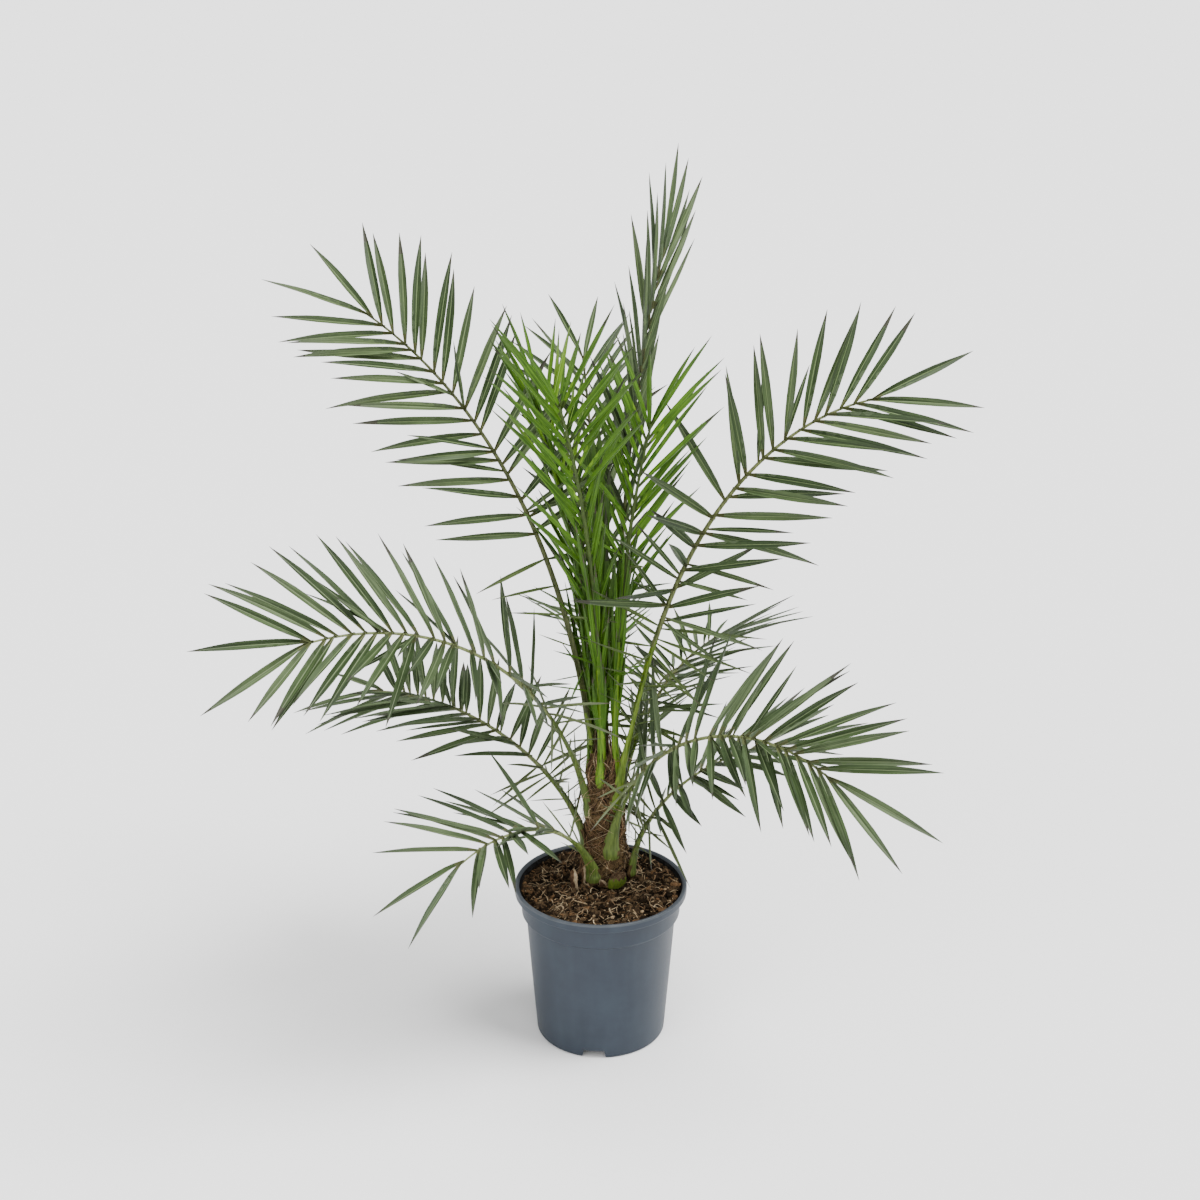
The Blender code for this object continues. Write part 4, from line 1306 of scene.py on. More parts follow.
SHUT_LENGTH = 0.8
FORWARD_BELOW = 0.4         # share of the blade over which leaflets lean forward
YOUNG_TIP_LENGTH = 0.82     # of the usual length, for the last pair
SPINE_COUNT = 12            # spines in a row
SPINE_WIDTH = 0.0024
SPINE_WIDTH_GAIN = 0.0052   # added up to the first full leaflet
SPINE_BELOW = 0.0042        # a narrower leaflet is a stiff spine
CLOSED_COUNT = 20           # closed leaflets in a row
CLEARANCE = 0.0004          # left between a leaflet and every other limb


class Leaflet(NamedTuple):
    """One leaflet: its row, place on the rib, length, angles in degrees and width."""

    row: int
    share: float
    length: float
    spread: float
    lift: float
    width: float


class Detour(NamedTuple):
    """A turn that a leaflet may take to pass clear of another limb."""

    turn: float
    close: float
    shorten: float


class Seat(NamedTuple):
    """Where a leaflet springs from, with its axes and its length."""

    root: Vector
    along: Vector
    across: Vector
    up: Vector
    length: float


DETOURS = tuple(Detour(*values) for values in (
    (0, 0, 1.0), (14, 0, 1.0), (-14, 0, 1.0), (28, 0, 1.0), (0, -16, 0.95), (40, 0, 0.95),
    (26, -8, 0.9), (-26, -8, 0.9), (0, -26, 0.85)))


def leaf_width(length: float) -> float:
    """Width of a leaflet's open blade for its length."""
    growth = (1.0 - LEAF_LEAST_WIDTH) * length / LEAF_FULL_LENGTH
    return LEAF_WIDTH * (LEAF_LEAST_WIDTH + growth)


class Habit(NamedTuple):
    """How one frond's leaflets depart from the plain rule. Angles are in degrees.

    slim is their width over the usual, loose their stray of angles, shut_row a row whose lower
    leaflets stay shut up to the share shut_below, gather how far the lower ones close up,
    turn_low how far the blade is rolled over where it starts, light how often the lightest tone
    comes, stray_share how many of the slim stray leaflets there are, fan how far the first row
    opens near the tip, forward how far its lower leaflets lean over the blade's face, upward how
    far the other row's lower ones close up to the rib, stalk the width of the stalk over the
    usual, and shaded is for a darker stalk and rib.
    """

    slim: float = 1.0
    loose: float = 1.0
    shut_row: int = 0
    gather: float = 0.0
    turn_low: float = 0.0
    light: float = 1.0
    shut_below: float = 0.8
    stray_share: float = 1.0
    fan: float = 0.0
    forward: float = 0.0
    upward: float = 0.0
    stalk: float = 1.0
    shaded: bool = False


SOFT = Habit(slim=0.82, gather=0.5, stray_share=0.35)
FRONT = Habit(slim=0.78, gather=0.5, shut_row=1, shut_below=0.66, stray_share=0.35, fan=14.0)
SPEAR = Habit(slim=1.25, stray_share=0.3)
SPARE = Habit(slim=0.75, loose=1.8, gather=0.8, stray_share=0.2, stalk=0.85, shaded=True)
BEHIND = SPARE._replace(slim=0.52, shut_row=1, shut_below=0.7)


@dataclass(frozen=True)
class Frond:
    """One feather frond. Angles are in degrees; heading 0 is +X and 90 is +Y."""

    name: str
    heading: float
    height: float
    reach: float
    foot_heading: float
    rise: float
    arch: float
    bend: float
    length: float
    sweep: float
    roll: float
    roll_tip: float
    first: float
    pairs: int
    leaf: float
    spread: float
    spread_tip: float
    lift: float
    foot_width: float
    seed: int
    age: Age = Age.OLD
    habit: Habit = Habit()

    def axes(self, share: float) -> Axes:
        """Tangent, side and upward normal of the blade at a share of the rib's length."""
        pitch = math.radians(self.rise - self.arch * share ** self.bend)
        heading = math.radians(self.heading + self.sweep * share)
        tangent = Vector((math.cos(pitch) * math.cos(heading),
                          math.cos(pitch) * math.sin(heading), math.sin(pitch)))
        level = Vector((-math.sin(heading), math.cos(heading), 0.0))
        normal = tangent.cross(level)
        roll = math.radians(self.roll + (self.roll_tip - self.roll) * share)
        side = level * math.cos(roll) + normal * math.sin(roll)
        return tangent, side, normal * math.cos(roll) - level * math.sin(roll)

    def walk(self, axis: Vector) -> list[Vector]:
        """Points of the rib from its foot to its tip, in equal steps."""
        points = [axis + level_way(self.foot_heading) * self.reach + UP * self.height]
        for step in range(RIB_STEPS):
            tangent = self.axes((step + 0.5) / RIB_STEPS)[0]
            points.append(points[-1] + tangent * (self.length / RIB_STEPS))
        return points

    def width(self, share: float) -> float:
        """Width of the stalk and rib: broad at the foot, then slender to the tip."""
        stalk = (STALK_WIDTH + STALK_WIDTH_GAIN * self.length) * self.habit.stalk
        clasp = max(self.foot_width * CLASP_SCALE - stalk, 0.0)
        clasp *= math.exp(-share * self.length / CLASP_LENGTH)
        return clasp + RIB_TIP_WIDTH + (stalk - RIB_TIP_WIDTH) * (1.0 - share) ** RIB_TAPER

    def stalk_axes(self, share: float) -> Axes:
        """Axes of the rib's section: flat to the trunk at the foot, then with the blade."""
        tangent, side, _ = self.axes(share)
        level = UP.cross(level_way(self.foot_heading))
        level = (level - tangent * level.dot(tangent)).normalized()
        hold = max(0.0, 1.0 - share / CLASP_SHARE)
        if side.dot(level) < 0.0:
            level = -level
        side = level * hold + side * (1.0 - hold)
        side = (side - tangent * side.dot(tangent)).normalized()
        return tangent, side, tangent.cross(side)

    def is_shut(self, row: int, share: float) -> bool:
        """Whether the leaflets of a row are still shut there."""
        return row == self.habit.shut_row and share < self.habit.shut_below

    def leaflets(self) -> list[Leaflet]:
        """The full leaflets, in the solids' own order of draws, looser towards the stalk."""
        dice, loose = random.Random(self.seed), random.Random(self.seed + 50)
        slots = GROUP * math.ceil(self.pairs / GROUP)
        plan = []
        for row in (1, -1):
            for index in range(self.pairs):
                group, member = divmod(index, GROUP)
                slot = (GROUP * group + GROUP / 2 + (member - 1) * CROWDING
                        + dice.uniform(-SLOT_STRAY, SLOT_STRAY))
                slot = min(slot / slots, 1.0)
                share = self.first + (1.0 - self.first) * slot ** SLOT_CURVE
                age = (share - self.first) / (1.0 - self.first)
                growth = 0.72 + 0.28 * math.sin(math.pi * min(1.0, 0.12 + 0.58 * slot))
                length = self.leaf * growth * dice.uniform(0.94, 1.05)
                spread = self.spread + (self.spread_tip - self.spread) * age ** SPREAD_CURVE
                spread *= 1.0 - self.habit.gather * (1.0 - age) ** 2
                spread += dice.uniform(-ANGLE_STRAY, ANGLE_STRAY)
                lift = self.lift + (member - 1) * FLOP_STEP
                lift += dice.uniform(-LIFT_STRAY, LIFT_STRAY)
                stray = (1.0 - age) * self.habit.loose
                if self.is_shut(row, share):
                    spread, length = spread * SHUT_SPREAD, length * SHUT_LENGTH
                elif row == 1:
                    lean = self.habit.forward if age < FORWARD_BELOW else 0.0
                    spread += self.habit.fan * age ** 2 + lean * 0.5
                    lift, length = lift + lean, length * (1.0 + lean / 180.0)
                else:
                    spread -= self.habit.upward * max(0.0, 1.0 - 2.0 * age)
                plan.append(Leaflet(row, share, length * (1.12 - 0.12 * self.habit.loose),
                                    spread + stray * loose.gauss(0.0, LOOSE_SPREAD),
                                    lift + stray * loose.gauss(0.0, LOOSE_LIFT),
                                    leaf_width(length) * self.habit.slim))
        for row, share, grow, close in ((1, 0.995, 0.99, 0.45), (-1, 0.985, 0.94, 0.40)):
            length = self.leaf * grow * (YOUNG_TIP_LENGTH if self.age is Age.YOUNG else 1.0)
            fan = self.habit.fan if row == 1 else 0.0
            plan.append(Leaflet(row, share, length, self.spread_tip * close + fan, 2.0,
                                leaf_width(length) * self.habit.slim))
        return plan

    def fillers(self) -> list[Leaflet]:
        """Slim leaflets between the full ones, at looser angles."""
        dice = random.Random(self.seed + 70)
        count = round(self.pairs / 3 * self.habit.stray_share)
        plan = []
        for row in (1, -1):
            for _ in range(count):
                rank = dice.random() ** 1.4
                share = self.first + (0.86 - self.first) * rank
                length = self.leaf * dice.uniform(0.50, 0.82)
                spread = self.spread + (self.spread_tip - self.spread) * rank
                if self.is_shut(row, share):
                    continue
                plan.append(Leaflet(row, share, length, spread + dice.gauss(0.0, 9.0),
                                    self.lift + dice.gauss(0.0, 20.0),
                                    leaf_width(length) * 0.7 * self.habit.slim))
        return plan

    def closed(self) -> list[Leaflet]:
        """The steep leaflets that still hug the stalks of a young frond."""
        dice = random.Random(self.seed + 90)
        plan = []
        for row in (1, -1):
            for index in range(CLOSED_COUNT):
                rank = (index + dice.random()) / CLOSED_COUNT
                share = 0.03 + (self.first + 0.04) * rank
                length = self.leaf * dice.uniform(0.60, 1.0)
                plan.append(Leaflet(row, share, length, dice.uniform(3.0, 10.0),
                                    dice.uniform(-85.0, 85.0), dice.uniform(0.0060, 0.0105)))
        return plan

    def spines(self) -> list[Leaflet]:
        """The narrow lower leaflets, which shorten into spines towards the trunk."""
        dice = random.Random(self.seed + 100)
        count = round(SPINE_COUNT * self.habit.stray_share)
        plan = []
        for row in (1, -1):
            for index in range(count):
                rank = (index + dice.uniform(0.1, 0.9)) / count
                share = self.first * (0.24 + 0.76 * rank ** 0.8)
                length = self.leaf * (0.22 + 0.62 * rank) * dice.uniform(0.7, 1.15)
                spread = 58.0 + 34.0 * rank + dice.uniform(-24.0, 24.0)
                lift = self.lift + dice.uniform(-42.0, 52.0)
                if self.is_shut(row, share):
                    continue
                plan.append(Leaflet(row, share, length, spread, lift,
                                    SPINE_WIDTH + SPINE_WIDTH_GAIN * rank
                                    * dice.uniform(0.6, 1.1)))
        return plan

    def seat(self, points: Sequence[Vector], leaflet: Leaflet, detour: Detour) -> Seat:
        """Axes of one leaflet, turned by a detour."""
        tangent, side, normal = self.axes(leaflet.share)
        age = max(0.0, leaflet.share - self.first) / (1.0 - self.first)
        over = math.radians(self.habit.turn_low * max(0.0, 1.0 - age) ** SPREAD_CURVE)
        side, normal = (side * math.cos(over) + normal * math.sin(over),
                        normal * math.cos(over) - side * math.sin(over))
        angle = math.radians(max(leaflet.spread + detour.close, 4.0))
        rise = math.radians(leaflet.lift + detour.turn)
        out = side * (leaflet.row * math.cos(rise)) + normal * math.sin(rise)
        along = tangent * math.cos(angle) + out * math.sin(angle)
        across = (tangent - along * tangent.dot(along)).normalized()
        up = across.cross(along) * leaflet.row
        return Seat(point_on(points, leaflet.share), along, across, up,
                    leaflet.length * detour.shorten)


def point_on(points: Sequence[Vector], share: float) -> Vector:
    """Point at a share of a walked rib."""
    place = min(max(share * RIB_STEPS, 0.0), RIB_STEPS - 1e-6)
    index = int(place)
    return points[index].lerp(points[index + 1], place - index)


# Each row: name, heading, height, reach, foot_heading, rise, arch, bend, length, sweep, roll,
# roll_tip, first, then pairs, leaf, spread, spread_tip, lift, foot_width, seed, age and habit.
OLD_FRONDS = (
    Frond("frond_left_high", 157, 0.402, 0.0150, 178, 81, 55, 1.60, 0.708, -5, -70, -38, 0.43,
          17, 0.160, 74, 36, 10, 0.013, 11, Age.FULL,
          Habit(stray_share=0.45, stalk=0.80, shaded=True)),
    Frond("frond_right_high", 3, 0.366, 0.027, -55, 79, 74, 2.30, 0.684, 15, 17, 50, 0.37,
          17, 0.170, 80, 34, 18, 0.016, 12, Age.FULL,
          Habit(loose=1.4, turn_low=58.0, forward=22.0, upward=36.0)),
    Frond("frond_left_mid", 202, 0.338, 0.026, 200, 79, 86, 1.11, 0.548, 5, 6, -47, 0.32,
          18, 0.165, 80, 38, 12, 0.020, 13),
    # frond_right_mid deals its lightest tone twice as often: painted light that brightens it to the
    # level of the other fronds.
    Frond("frond_right_mid", -29, 0.282, 0.029, -75, 83, 111, 1.11, 0.451, -7, 18, 41, 0.28,
          17, 0.165, 78, 30, 20, 0.022, 16, Age.OLD, Habit(light=2.0)),
    Frond("frond_top", 60, 0.402, 0.0150, 34, 88.4, 28, 1.95, 0.692, 4, 66, 74, 0.46,
          14, 0.163, 34, 13, 6, 0.012, 19, Age.FULL,
          Habit(slim=0.9, shut_row=-1, light=2.5, stalk=0.85, shaded=True)),
    Frond("frond_left_low", 153, 0.285, 0.030, 185, 79, 92, 0.62, 0.410, -8, 9, -19, 0.30,
          16, 0.148, 66, 40, 6, 0.020, 14),
    Frond("frond_right_low", 4, 0.238, 0.037, -15, 87, 77, 0.81, 0.290, -6, 15, -3, 0.34,
          11, 0.142, 85, 29, 2, 0.020, 17),
    Frond("frond_left_bottom", 220, 0.242, 0.035, 240, 79, 99, 0.79, 0.285, 5, 6, -8, 0.34,
          10, 0.145, 85, 36, 14, 0.024, 15, Age.OLD,
          Habit(shut_row=1, shut_below=0.62, stray_share=0.7)),
    Frond("frond_right_back", 47, 0.346, 0.026, 40, 70, 73, 1.30, 0.300, -3, -8, -22, 0.36,
          13, 0.150, 80, 30, 6, 0.016, 18, Age.FULL, Habit(slim=0.58)),
    Frond("frond_back_high", 96, 0.402, 0.0150, 106, 82, 54, 1.60, 0.585, 0, 0, 0, 0.38,
          16, 0.156, 70, 30, 10, 0.012, 24, Age.FULL, SPARE),
    Frond("frond_back_low", 94, 0.305, 0.029, 112, 76, 90, 1.00, 0.400, 0, 0, 0, 0.34,
          13, 0.148, 75, 36, 8, 0.020, 25, Age.OLD, BEHIND),
    Frond("frond_back_right_low", 70, 0.262, 0.033, 72, 76, 88, 0.90, 0.340, 0, 0, 0, 0.34,
          12, 0.140, 75, 36, 8, 0.020, 26, Age.OLD, BEHIND),
)
YOUNG_FRONDS = (
    Frond("frond_centre_front", 250, 0.402, 0.0150, 250, 86, 25, 1.57, 0.562, -5, -5, 17, 0.36,
          18, 0.162, 52, 24, 14, 0.013, 20, Age.YOUNG, FRONT),
    Frond("frond_centre_left", 128, 0.372, 0.027, 138, 87, 26, 1.60, 0.540, 0, 6, 20, 0.38,
          16, 0.160, 46, 22, 16, 0.013, 21, Age.YOUNG, SOFT),
    Frond("frond_centre_right", -35, 0.402, 0.0150, 322, 89, 14, 1.60, 0.495, 0, -50, -50, 0.40,
          15, 0.152, 50, 32, 24, 0.012, 22, Age.YOUNG, SOFT),
    Frond("frond_spear", 200, 0.402, 0.000, 0, 89, 4, 1.50, 0.360, 0, 0, 20, 0.40,
          9, 0.150, 13, 6, 12, 0.010, 23, Age.YOUNG, SPEAR),
)


class Part(Enum):
    """Slots of a leaflet piece after its three top tones."""

    UNDER = 3
    KEEL = 4
    TIP = 5
    FOOT = 6


@dataclass
class BladeCutter:
    """Shapes folded leaflets: a V of two halves on a keel, narrow at its root and pointed."""

    rings: int = 11
    keel_half_width: float = 0.0005
    keel_depth: float = 0.0007
    root_share: float = 0.40
    widest_from: float = 0.24
    widest_to: float = 0.56
    fold_root: float = 62.0
    fold_middle: float = 33.0
    fold_spine: float = 58.0
    open_by: float = 0.35
    bow: float = 0.022
    twist: float = 16.0
    tip_from: int = 9

    def __post_init__(self) -> None:
        """Extrude the leaflet's pattern: edge, two keel lines, edge and underside."""
        self.tube = Tube((0.0, 0.46, 0.54, 1.0, 0.5), self.rings)

    def half_width(self, share: float) -> float:
        """Half width of the blade as a share of its greatest half width."""
        if share < self.widest_from:
            rise = math.sin(0.5 * math.pi * share / self.widest_from)
            return self.root_share + (1.0 - self.root_share) * rise
        fall = max(share - self.widest_to, 0.0) / (1.0 - self.widest_to)
        return max(1.0 - fall ** 1.5, 0.02)

    def lay(self, bm: bmesh.types.BMesh, seat: Seat, width: float, root_back: float,
            dice: random.Random, paint: Callable[[int, int], int], stiff: float) -> None:
        """Add one leaflet.

        Args:
            bm: Where it goes.
            seat: Its root, axes and length.
            width: Its greatest width.
            root_back: How far its root runs back into the rib.
            dice: Draws its bend and twist.
            paint: Gives a face's slot from its ring and corner.
            stiff: 0 for a soft leaflet and 1 for a folded, straight spine.
        """
        whole = seat.length + root_back
        droop = LEAF_DROOP * dice.uniform(0.5, 1.7) * seat.length * (1.0 - 0.6 * stiff)
        bow = dice.gauss(0.0, self.bow) * seat.length
        twist = math.radians(dice.gauss(0.0, self.twist)) * (1.0 - stiff)
        sections = []
        for index in range(self.rings):
            share = index / (self.rings - 1)
            turn = twist * share
            across = seat.across * math.cos(turn) + seat.up * math.sin(turn)
            up = seat.up * math.cos(turn) - seat.across * math.sin(turn)
            middle = (seat.root + seat.along * (share * whole - root_back)
                      + seat.across * (bow * share * share) - UP * (droop * share ** 2))
            half = max(self.half_width(share) * width / 2.0, 0.00012)
            open_up = min(1.0, share / self.open_by)
            fold = self.fold_root + (self.fold_middle - self.fold_root) * open_up
            fold = math.radians(fold + (self.fold_spine - fold) * stiff)
            keel = min(self.keel_half_width, half * 0.3)
            depth = min(self.keel_depth, half * 0.6)
            edge, lift = half * math.cos(fold), half * math.sin(fold)
            low = keel * math.tan(fold) * 0.4
            sections.append([middle - across * edge + up * lift, middle - across * keel + up * low,
                             middle + across * keel + up * low, middle + across * edge + up * lift,
                             middle - up * depth])
        self.tube.lay(bm, sections, paint)


@dataclass
class RibCutter:
    """Extrudes ribs: a channelled stalk that turns into a ridged rib between the leaflets."""

    trunk: Trunk
    lower: int = 7
    strap_length: float = 0.026
    crown_strap_length: float = 0.048
    crown_from: float = 0.36
    crown_bulge: float = 0.0038
    bulge_length: float = 0.030
    strap_steps: int = 6
    strap_proud: float = 0.0032
    strap_bury: float = 0.0060
    ridge_from: float = 0.7
    ridge_over: float = 0.4
    brown_share: float = 0.7
    brown_side: float = 0.40
    brown_rise: float = 0.012

    def outline(self, ridge: float) -> list[tuple[float, float]]:
        """The section's corners: round below, channelled or ridged above.

        Args:
            ridge: 0 for the stalk's channel and 1 for the rib's ridge.

        Returns:
            (side, up) shares, once round.
        """
        corners = []
        for index in range(self.lower):
            angle = math.pi + math.pi * index / (self.lower - 1)
            corners.append((math.cos(angle), math.sin(angle)))
        middle = 0.22 + 0.55 * ridge
        return corners + [(0.72, 0.46 - 0.06 * ridge), (0.0, middle), (-0.72, 0.46 - 0.06 * ridge)]

    def strap_drop(self, frond: Frond) -> float:
        """How far the sheath of a frond runs down the trunk below its stalk's foot."""
        length = self.crown_strap_length if frond.height > self.crown_from else self.strap_length
        return min(length, frond.height - self.trunk.foot - 0.002)

    def bulge(self, frond: Frond, share: float) -> float:
        """How far out a stalk at the trunk's top swells towards its foot."""
        if frond.height < self.crown_from or frond.reach < 0.001:
            return 0.0
        return self.crown_bulge * max(0.0, 1.0 - share * frond.length / self.bulge_length)

    def strap(self, frond: Frond) -> list[tuple[Vector, float, float]]:
        """Stations of the sheath that runs down the trunk below a stalk's foot.

        Args:
            frond: The frond whose foot it carries.

        Returns:
            (centre, share of the rib, scale of the width) for each station, from below.
        """
        out = level_way(frond.foot_heading)
        length = self.strap_drop(frond)
        stations = []
        for step in range(self.strap_steps):
            rise = step / self.strap_steps
            level = frond.height - length * (1.0 - rise)
            on_bark = self.trunk.radius(level) + self.strap_proud
            on_bark -= self.strap_bury * (1.0 - rise) ** 2
            foot_reach = frond.reach + self.bulge(frond, 0.0)
            reach = on_bark + (foot_reach - on_bark) * rise ** 6
            scale = 0.25 + 0.90 * math.sin(math.pi * (0.10 + 0.50 * rise))
            stations.append((self.trunk.axis + out * reach + UP * level, 0.0, scale))
        return stations

    def build(self, frond: Frond, points: Sequence[Vector]) -> bmesh.types.BMesh:
        """Extrude one rib from the sheath on the trunk out to the tip."""
        bm = bmesh.new()
        ring = bmesh.ops.create_circle(bm, cap_ends=True, segments=len(self.outline(0.0)),
                                       radius=1.0)
        face = ring["verts"][0].link_faces[0]
        stations, out = self.strap(frond), level_way(frond.foot_heading)
        for step, point in enumerate(points):
            share = step / RIB_STEPS
            stations.append((point + out * self.bulge(frond, share), share, 1.0))
        for index, (centre, share, scale) in enumerate(stations):
            if index:
                face = extrude_cap(bm, face)
            _, side, normal = frond.stalk_axes(share)
            half = frond.width(share) / 2.0 * scale
            depth = min(half * RIB_DEPTH_SHARE, RIB_DEPTH_FLOOR + RIB_DEPTH_GAIN * half)
            ridge = (share / frond.first - self.ridge_from) / self.ridge_over
            ridge = min(1.0, max(0.0, ridge))
            wrap = half * half / CLASP_RADIUS * max(0.0, 1.0 - share / CLASP_SHARE)
            for vert, (x, y) in zip(face.verts, self.outline(ridge)):
                vert.co = centre + side * (x * half) + normal * (y * depth + wrap * x * x)
        return bm


class Crown:
    """All the fronds, each dressed with its rib, leaflets and spines."""

    def __init__(self, trunk: Trunk, shop: Workshop) -> None:
        """Read the solids that a leaflet has to pass clear of."""
        self.trunk = trunk
        self.shop = shop
        self.blades = BladeCutter()
        self.ribs = RibCutter(trunk)
        self.solids = {name: self._tree(item) for name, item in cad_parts.items()}

    @staticmethod
    def _tree(item: bpy.types.Object) -> BVHTree:
        """Search tree over a solid."""
        bm = bmesh.new()
        bm.from_mesh(item.data)
        tree = BVHTree.FromBMesh(bm)
        bm.free()
        return tree

    @staticmethod
    def _envelope(seat: Seat, width: float) -> BVHTree:
        """Search tree over a leaflet's plain outer shape, swollen by the clearance."""
        bm = bmesh.new()
        bmesh.ops.create_uvsphere(bm, u_segments=4, v_segments=2, radius=1.0)
        half, thick = width / 2.0 + CLEARANCE, LEAF_HALF_THICKNESS + CLEARANCE
        for vert in bm.verts:
            x, y, z = vert.co
            reach = LEAF_WIDEST_AT * seat.length
            drop = 0.0
            if z > 0.5:
                reach, drop = seat.length + CLEARANCE, LEAF_DROOP * seat.length
            elif z < -0.5:
                reach = 0.0
            fold = LEAF_FOLD * abs(x)
            vert.co = (seat.root + seat.along * reach + seat.across * (x * half)
                       + seat.up * (y * thick + fold) - UP * drop)
        tree = BVHTree.FromBMesh(bm)
        bm.free()
        return tree

    def seats(self, frond: Frond, points: Sequence[Vector], plan: Sequence[Leaflet]
              ) -> list[tuple[Leaflet, Seat]]:
        """Seat each leaflet by its first detour that is clear, and skip it if none is."""
        others = [tree for name, tree in self.solids.items() if name != frond.name]
        seated = []
        for leaflet in plan:
            for detour in DETOURS:
                seat = frond.seat(points, leaflet, detour)
                own = self._envelope(seat, leaflet.width)
                if not any(own.overlap(other) for other in others):
                    slim = leaflet.width * (0.3 + 0.7 * detour.shorten)
                    seated.append((leaflet._replace(width=slim), seat))
                    break
        return seated

    def build_rib(self, frond: Frond, points: Sequence[Vector]) -> None:
        """Build one stalk and rib, with its brown clasping foot."""
        bm = self.ribs.build(frond, points)
        foot, shaded = points[0].z, frond.habit.shaded
        brown_below = foot - self.ribs.brown_share * self.ribs.strap_drop(frond)
        brown_side, brown_top = self.ribs.brown_side, foot + self.ribs.brown_rise
        split = round(frond.first * (0.22 if shaded else 0.9) * RIB_STEPS)
        for face in bm.faces:
            spot = face.calc_center_median()
            nearest = min(range(len(points)), key=lambda step: (spot - points[step]).length)
            _, side, _ = frond.stalk_axes(nearest / RIB_STEPS)
            aside = abs((spot - points[nearest]).dot(side)) / frond.width(nearest / RIB_STEPS)
            if spot.z < brown_below or (aside > brown_side and spot.z < brown_top):
                face.material_index = 2
            else:
                face.material_index = 0 if nearest < split else 1
        finishes = frond.age.finishes
        rib = SHADED_RIB if shaded else finishes.rib
        self.shop.piece(bm, f"{frond.name}_rib", (finishes.stalk, rib, SHEATH),
                        frond.age.slot, [frond.name])

    def build_leaflets(self, frond: Frond, points: Sequence[Vector]) -> None:
        """Build the full leaflets of one frond."""
        dice, bm = random.Random(frond.seed + 200), bmesh.new()
        stiff = 0.5 if frond.age is Age.YOUNG else 0.0
        seated = self.seats(frond, points, frond.leaflets() + frond.fillers())
        for leaflet, seat in seated:
            tone = dice.choices((0, 1, 2), (3.0, 4.0, 2.0 * frond.habit.light))[0]
            tip_from = self.blades.tip_from + dice.choice((-1, 0, 0, 0, 0, 1))

            def paint(ring: int, corner: int) -> int:
                """Slot of one face of the leaflet."""
                if ring >= tip_from:
                    return Part.TIP.value
                if ring == 0:
                    return Part.FOOT.value
                if corner in (3, 4):
                    return Part.UNDER.value
                return Part.KEEL.value if corner == 1 else tone

            self.blades.lay(bm, seat, leaflet.width, frond.width(leaflet.share) * ROOT_SHARE,
                            dice, paint, stiff)
        LOG.info("%s: %d leaflets clear of the other limbs", frond.name, len(seated))
        self.shop.piece(bm, f"{frond.name}_leaflets", frond.age.finishes.blade_list(),
                        frond.age.slot, [frond.name], 30.0)

    def build_spines(self, frond: Frond, points: Sequence[Vector]) -> None:
        """Build the narrow lower leaflets and spines of one frond."""
        dice, bm = random.Random(frond.seed + 300), bmesh.new()
        last, young = self.blades.rings - 3, frond.age is Age.YOUNG
        plan = frond.spines() + (frond.closed() if young else [])
        for leaflet, seat in self.seats(frond, points, plan):
            stiff = 0.8 if leaflet.width < SPINE_BELOW or young else 0.2
            self.blades.lay(bm, seat, leaflet.width, frond.width(leaflet.share) * ROOT_SHARE,
                            dice, lambda ring, corner: int(ring > last), stiff)
        self.shop.piece(bm, f"{frond.name}_spines", (frond.age.finishes.spine, SPINE_TIP),
                        frond.age.slot, crease=30.0)

    def build(self) -> None:
        """Build every frond."""
        for frond in (*OLD_FRONDS, *YOUNG_FRONDS):
            points = frond.walk(self.trunk.axis)
            self.build_rib(frond, points)
            self.build_leaflets(frond, points)
            self.build_spines(frond, points)


# Studio --------------------------------

FLOOR = PlainFinish("studio_floor", (0.93, 0.93, 0.93), 0.9)


class Lamp(NamedTuple):
    """One broad, far lamp: the way to it, its strength and its spread in degrees."""

    name: str
    toward: Vector
    power: float
    spread: float


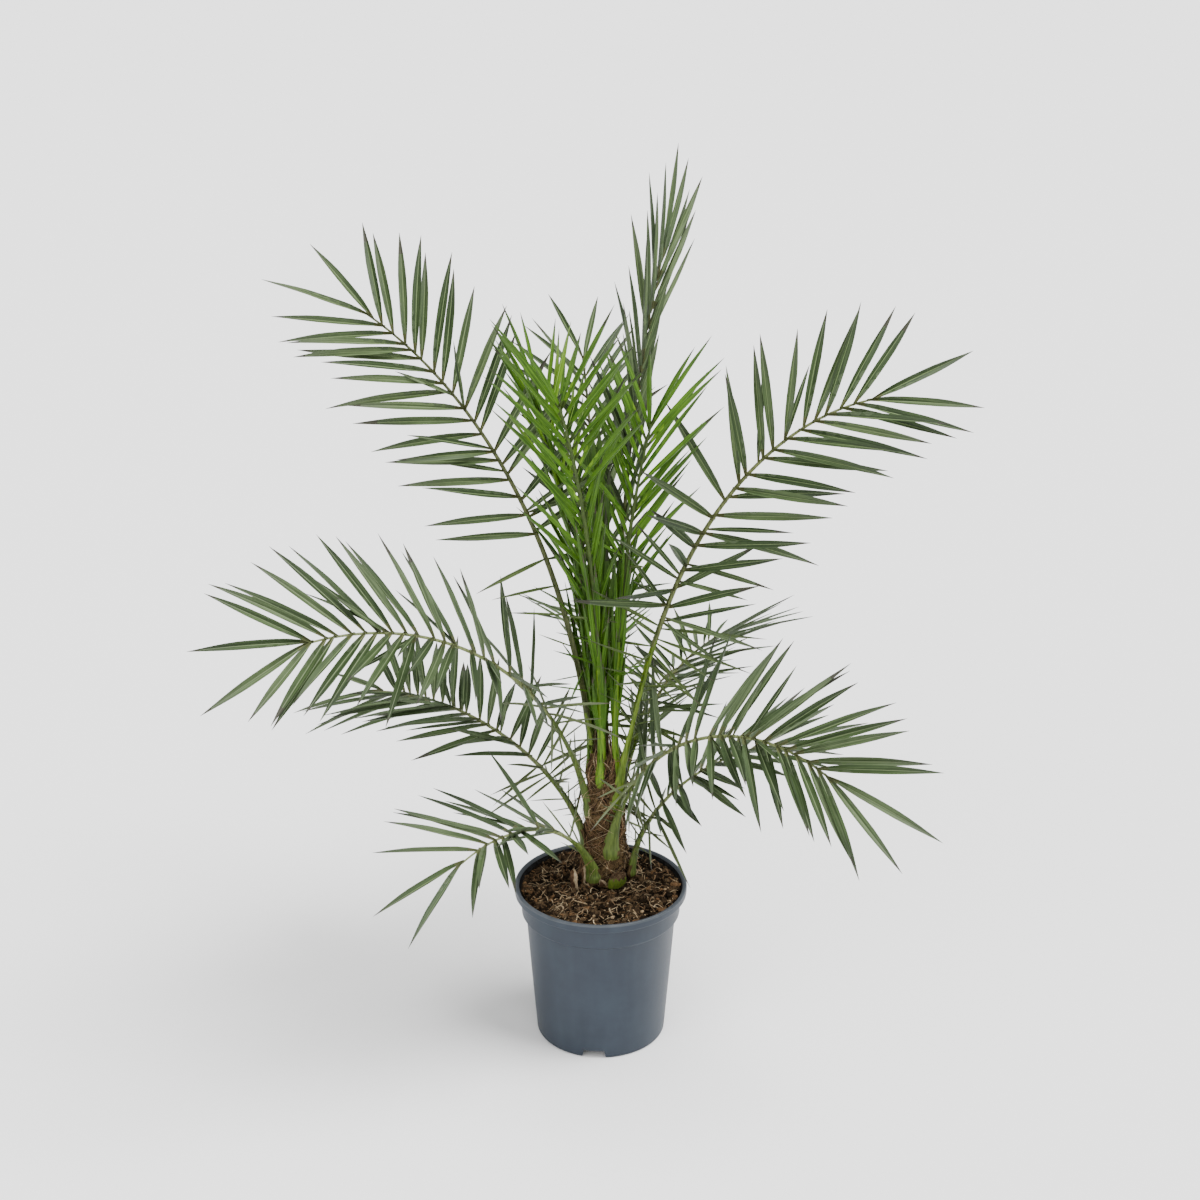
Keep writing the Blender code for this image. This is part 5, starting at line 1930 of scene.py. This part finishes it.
@dataclass
class Studio:
    """The pale floor, the soft lights and the camera."""

    floor_size: float = 60.0
    lens: float = 61.5
    sensor: float = 36.0
    camera_place: tuple[float, float, float] = (-0.001, -2.5165, 1.6305)
    camera_drop: float = 21.3
    sky_light: float = 0.56
    lamps: tuple[Lamp, ...] = (
        Lamp("key_light", Vector((0.50, -0.10, 1.0)), 6.3, 36.0),
        Lamp("fill_light", Vector((-0.34, -1.0, 0.80)), 2.2, 70.0),
    )

    def build_floor(self, shop: Workshop) -> None:
        """Lay the floor."""
        bm = bmesh.new()
        bmesh.ops.create_grid(bm, x_segments=1, y_segments=1, size=self.floor_size / 2.0)
        mesh = mesh_of(bm, "studio_floor")
        shop.dress(mesh, [FLOOR])
        floor = link("studio_floor", mesh)

    def build_lights(self) -> None:
        """Hang the broad lamps and set the sky's even light."""
        for lamp in self.lamps:
            light = bpy.data.lights.new(lamp.name, "SUN")
            light.energy = lamp.power
            light.angle = math.radians(lamp.spread)
            item = link(lamp.name, light)
            item.rotation_euler = lamp.toward.to_track_quat("Z", "Y").to_euler()
        world = bpy.data.worlds.new("studio_sky")
        world.use_nodes = True
        sky = world.node_tree.nodes["Background"]
        sky.inputs["Color"].default_value = (1.0, 1.0, 1.0, 1.0)
        sky.inputs["Strength"].default_value = self.sky_light
        bpy.context.scene.world = world

    def build_camera(self) -> None:
        """Set up the camera."""
        data = bpy.data.cameras.new("studio_camera")
        data.lens = self.lens
        data.sensor_width = self.sensor
        data.sensor_fit = "HORIZONTAL"
        data.clip_end = 200.0
        item = link("studio_camera", data)
        item.location = self.camera_place
        item.rotation_euler = (math.radians(90.0 - self.camera_drop), 0.0, 0.0)
        bpy.context.scene.camera = item

    def build(self, shop: Workshop) -> None:
        """Build the whole studio."""
        self.build_floor(shop)
        self.build_lights()
        self.build_camera()


def main() -> None:
    """Build every piece of the potted palm in order."""
    logging.basicConfig(level=logging.INFO, format="%(message)s")
    shop = Workshop()
    strands = Strands(shop)
    Studio().build(shop)
    pot = Pot()
    pot.build(shop)
    Compost(pot).build(shop, strands)
    trunk = Trunk()
    trunk.build(shop, strands)
    CutBase(trunk).build(shop)
    build_scraps(shop)
    Crown(trunk, shop).build()


if __name__ == "__main__":
    main()
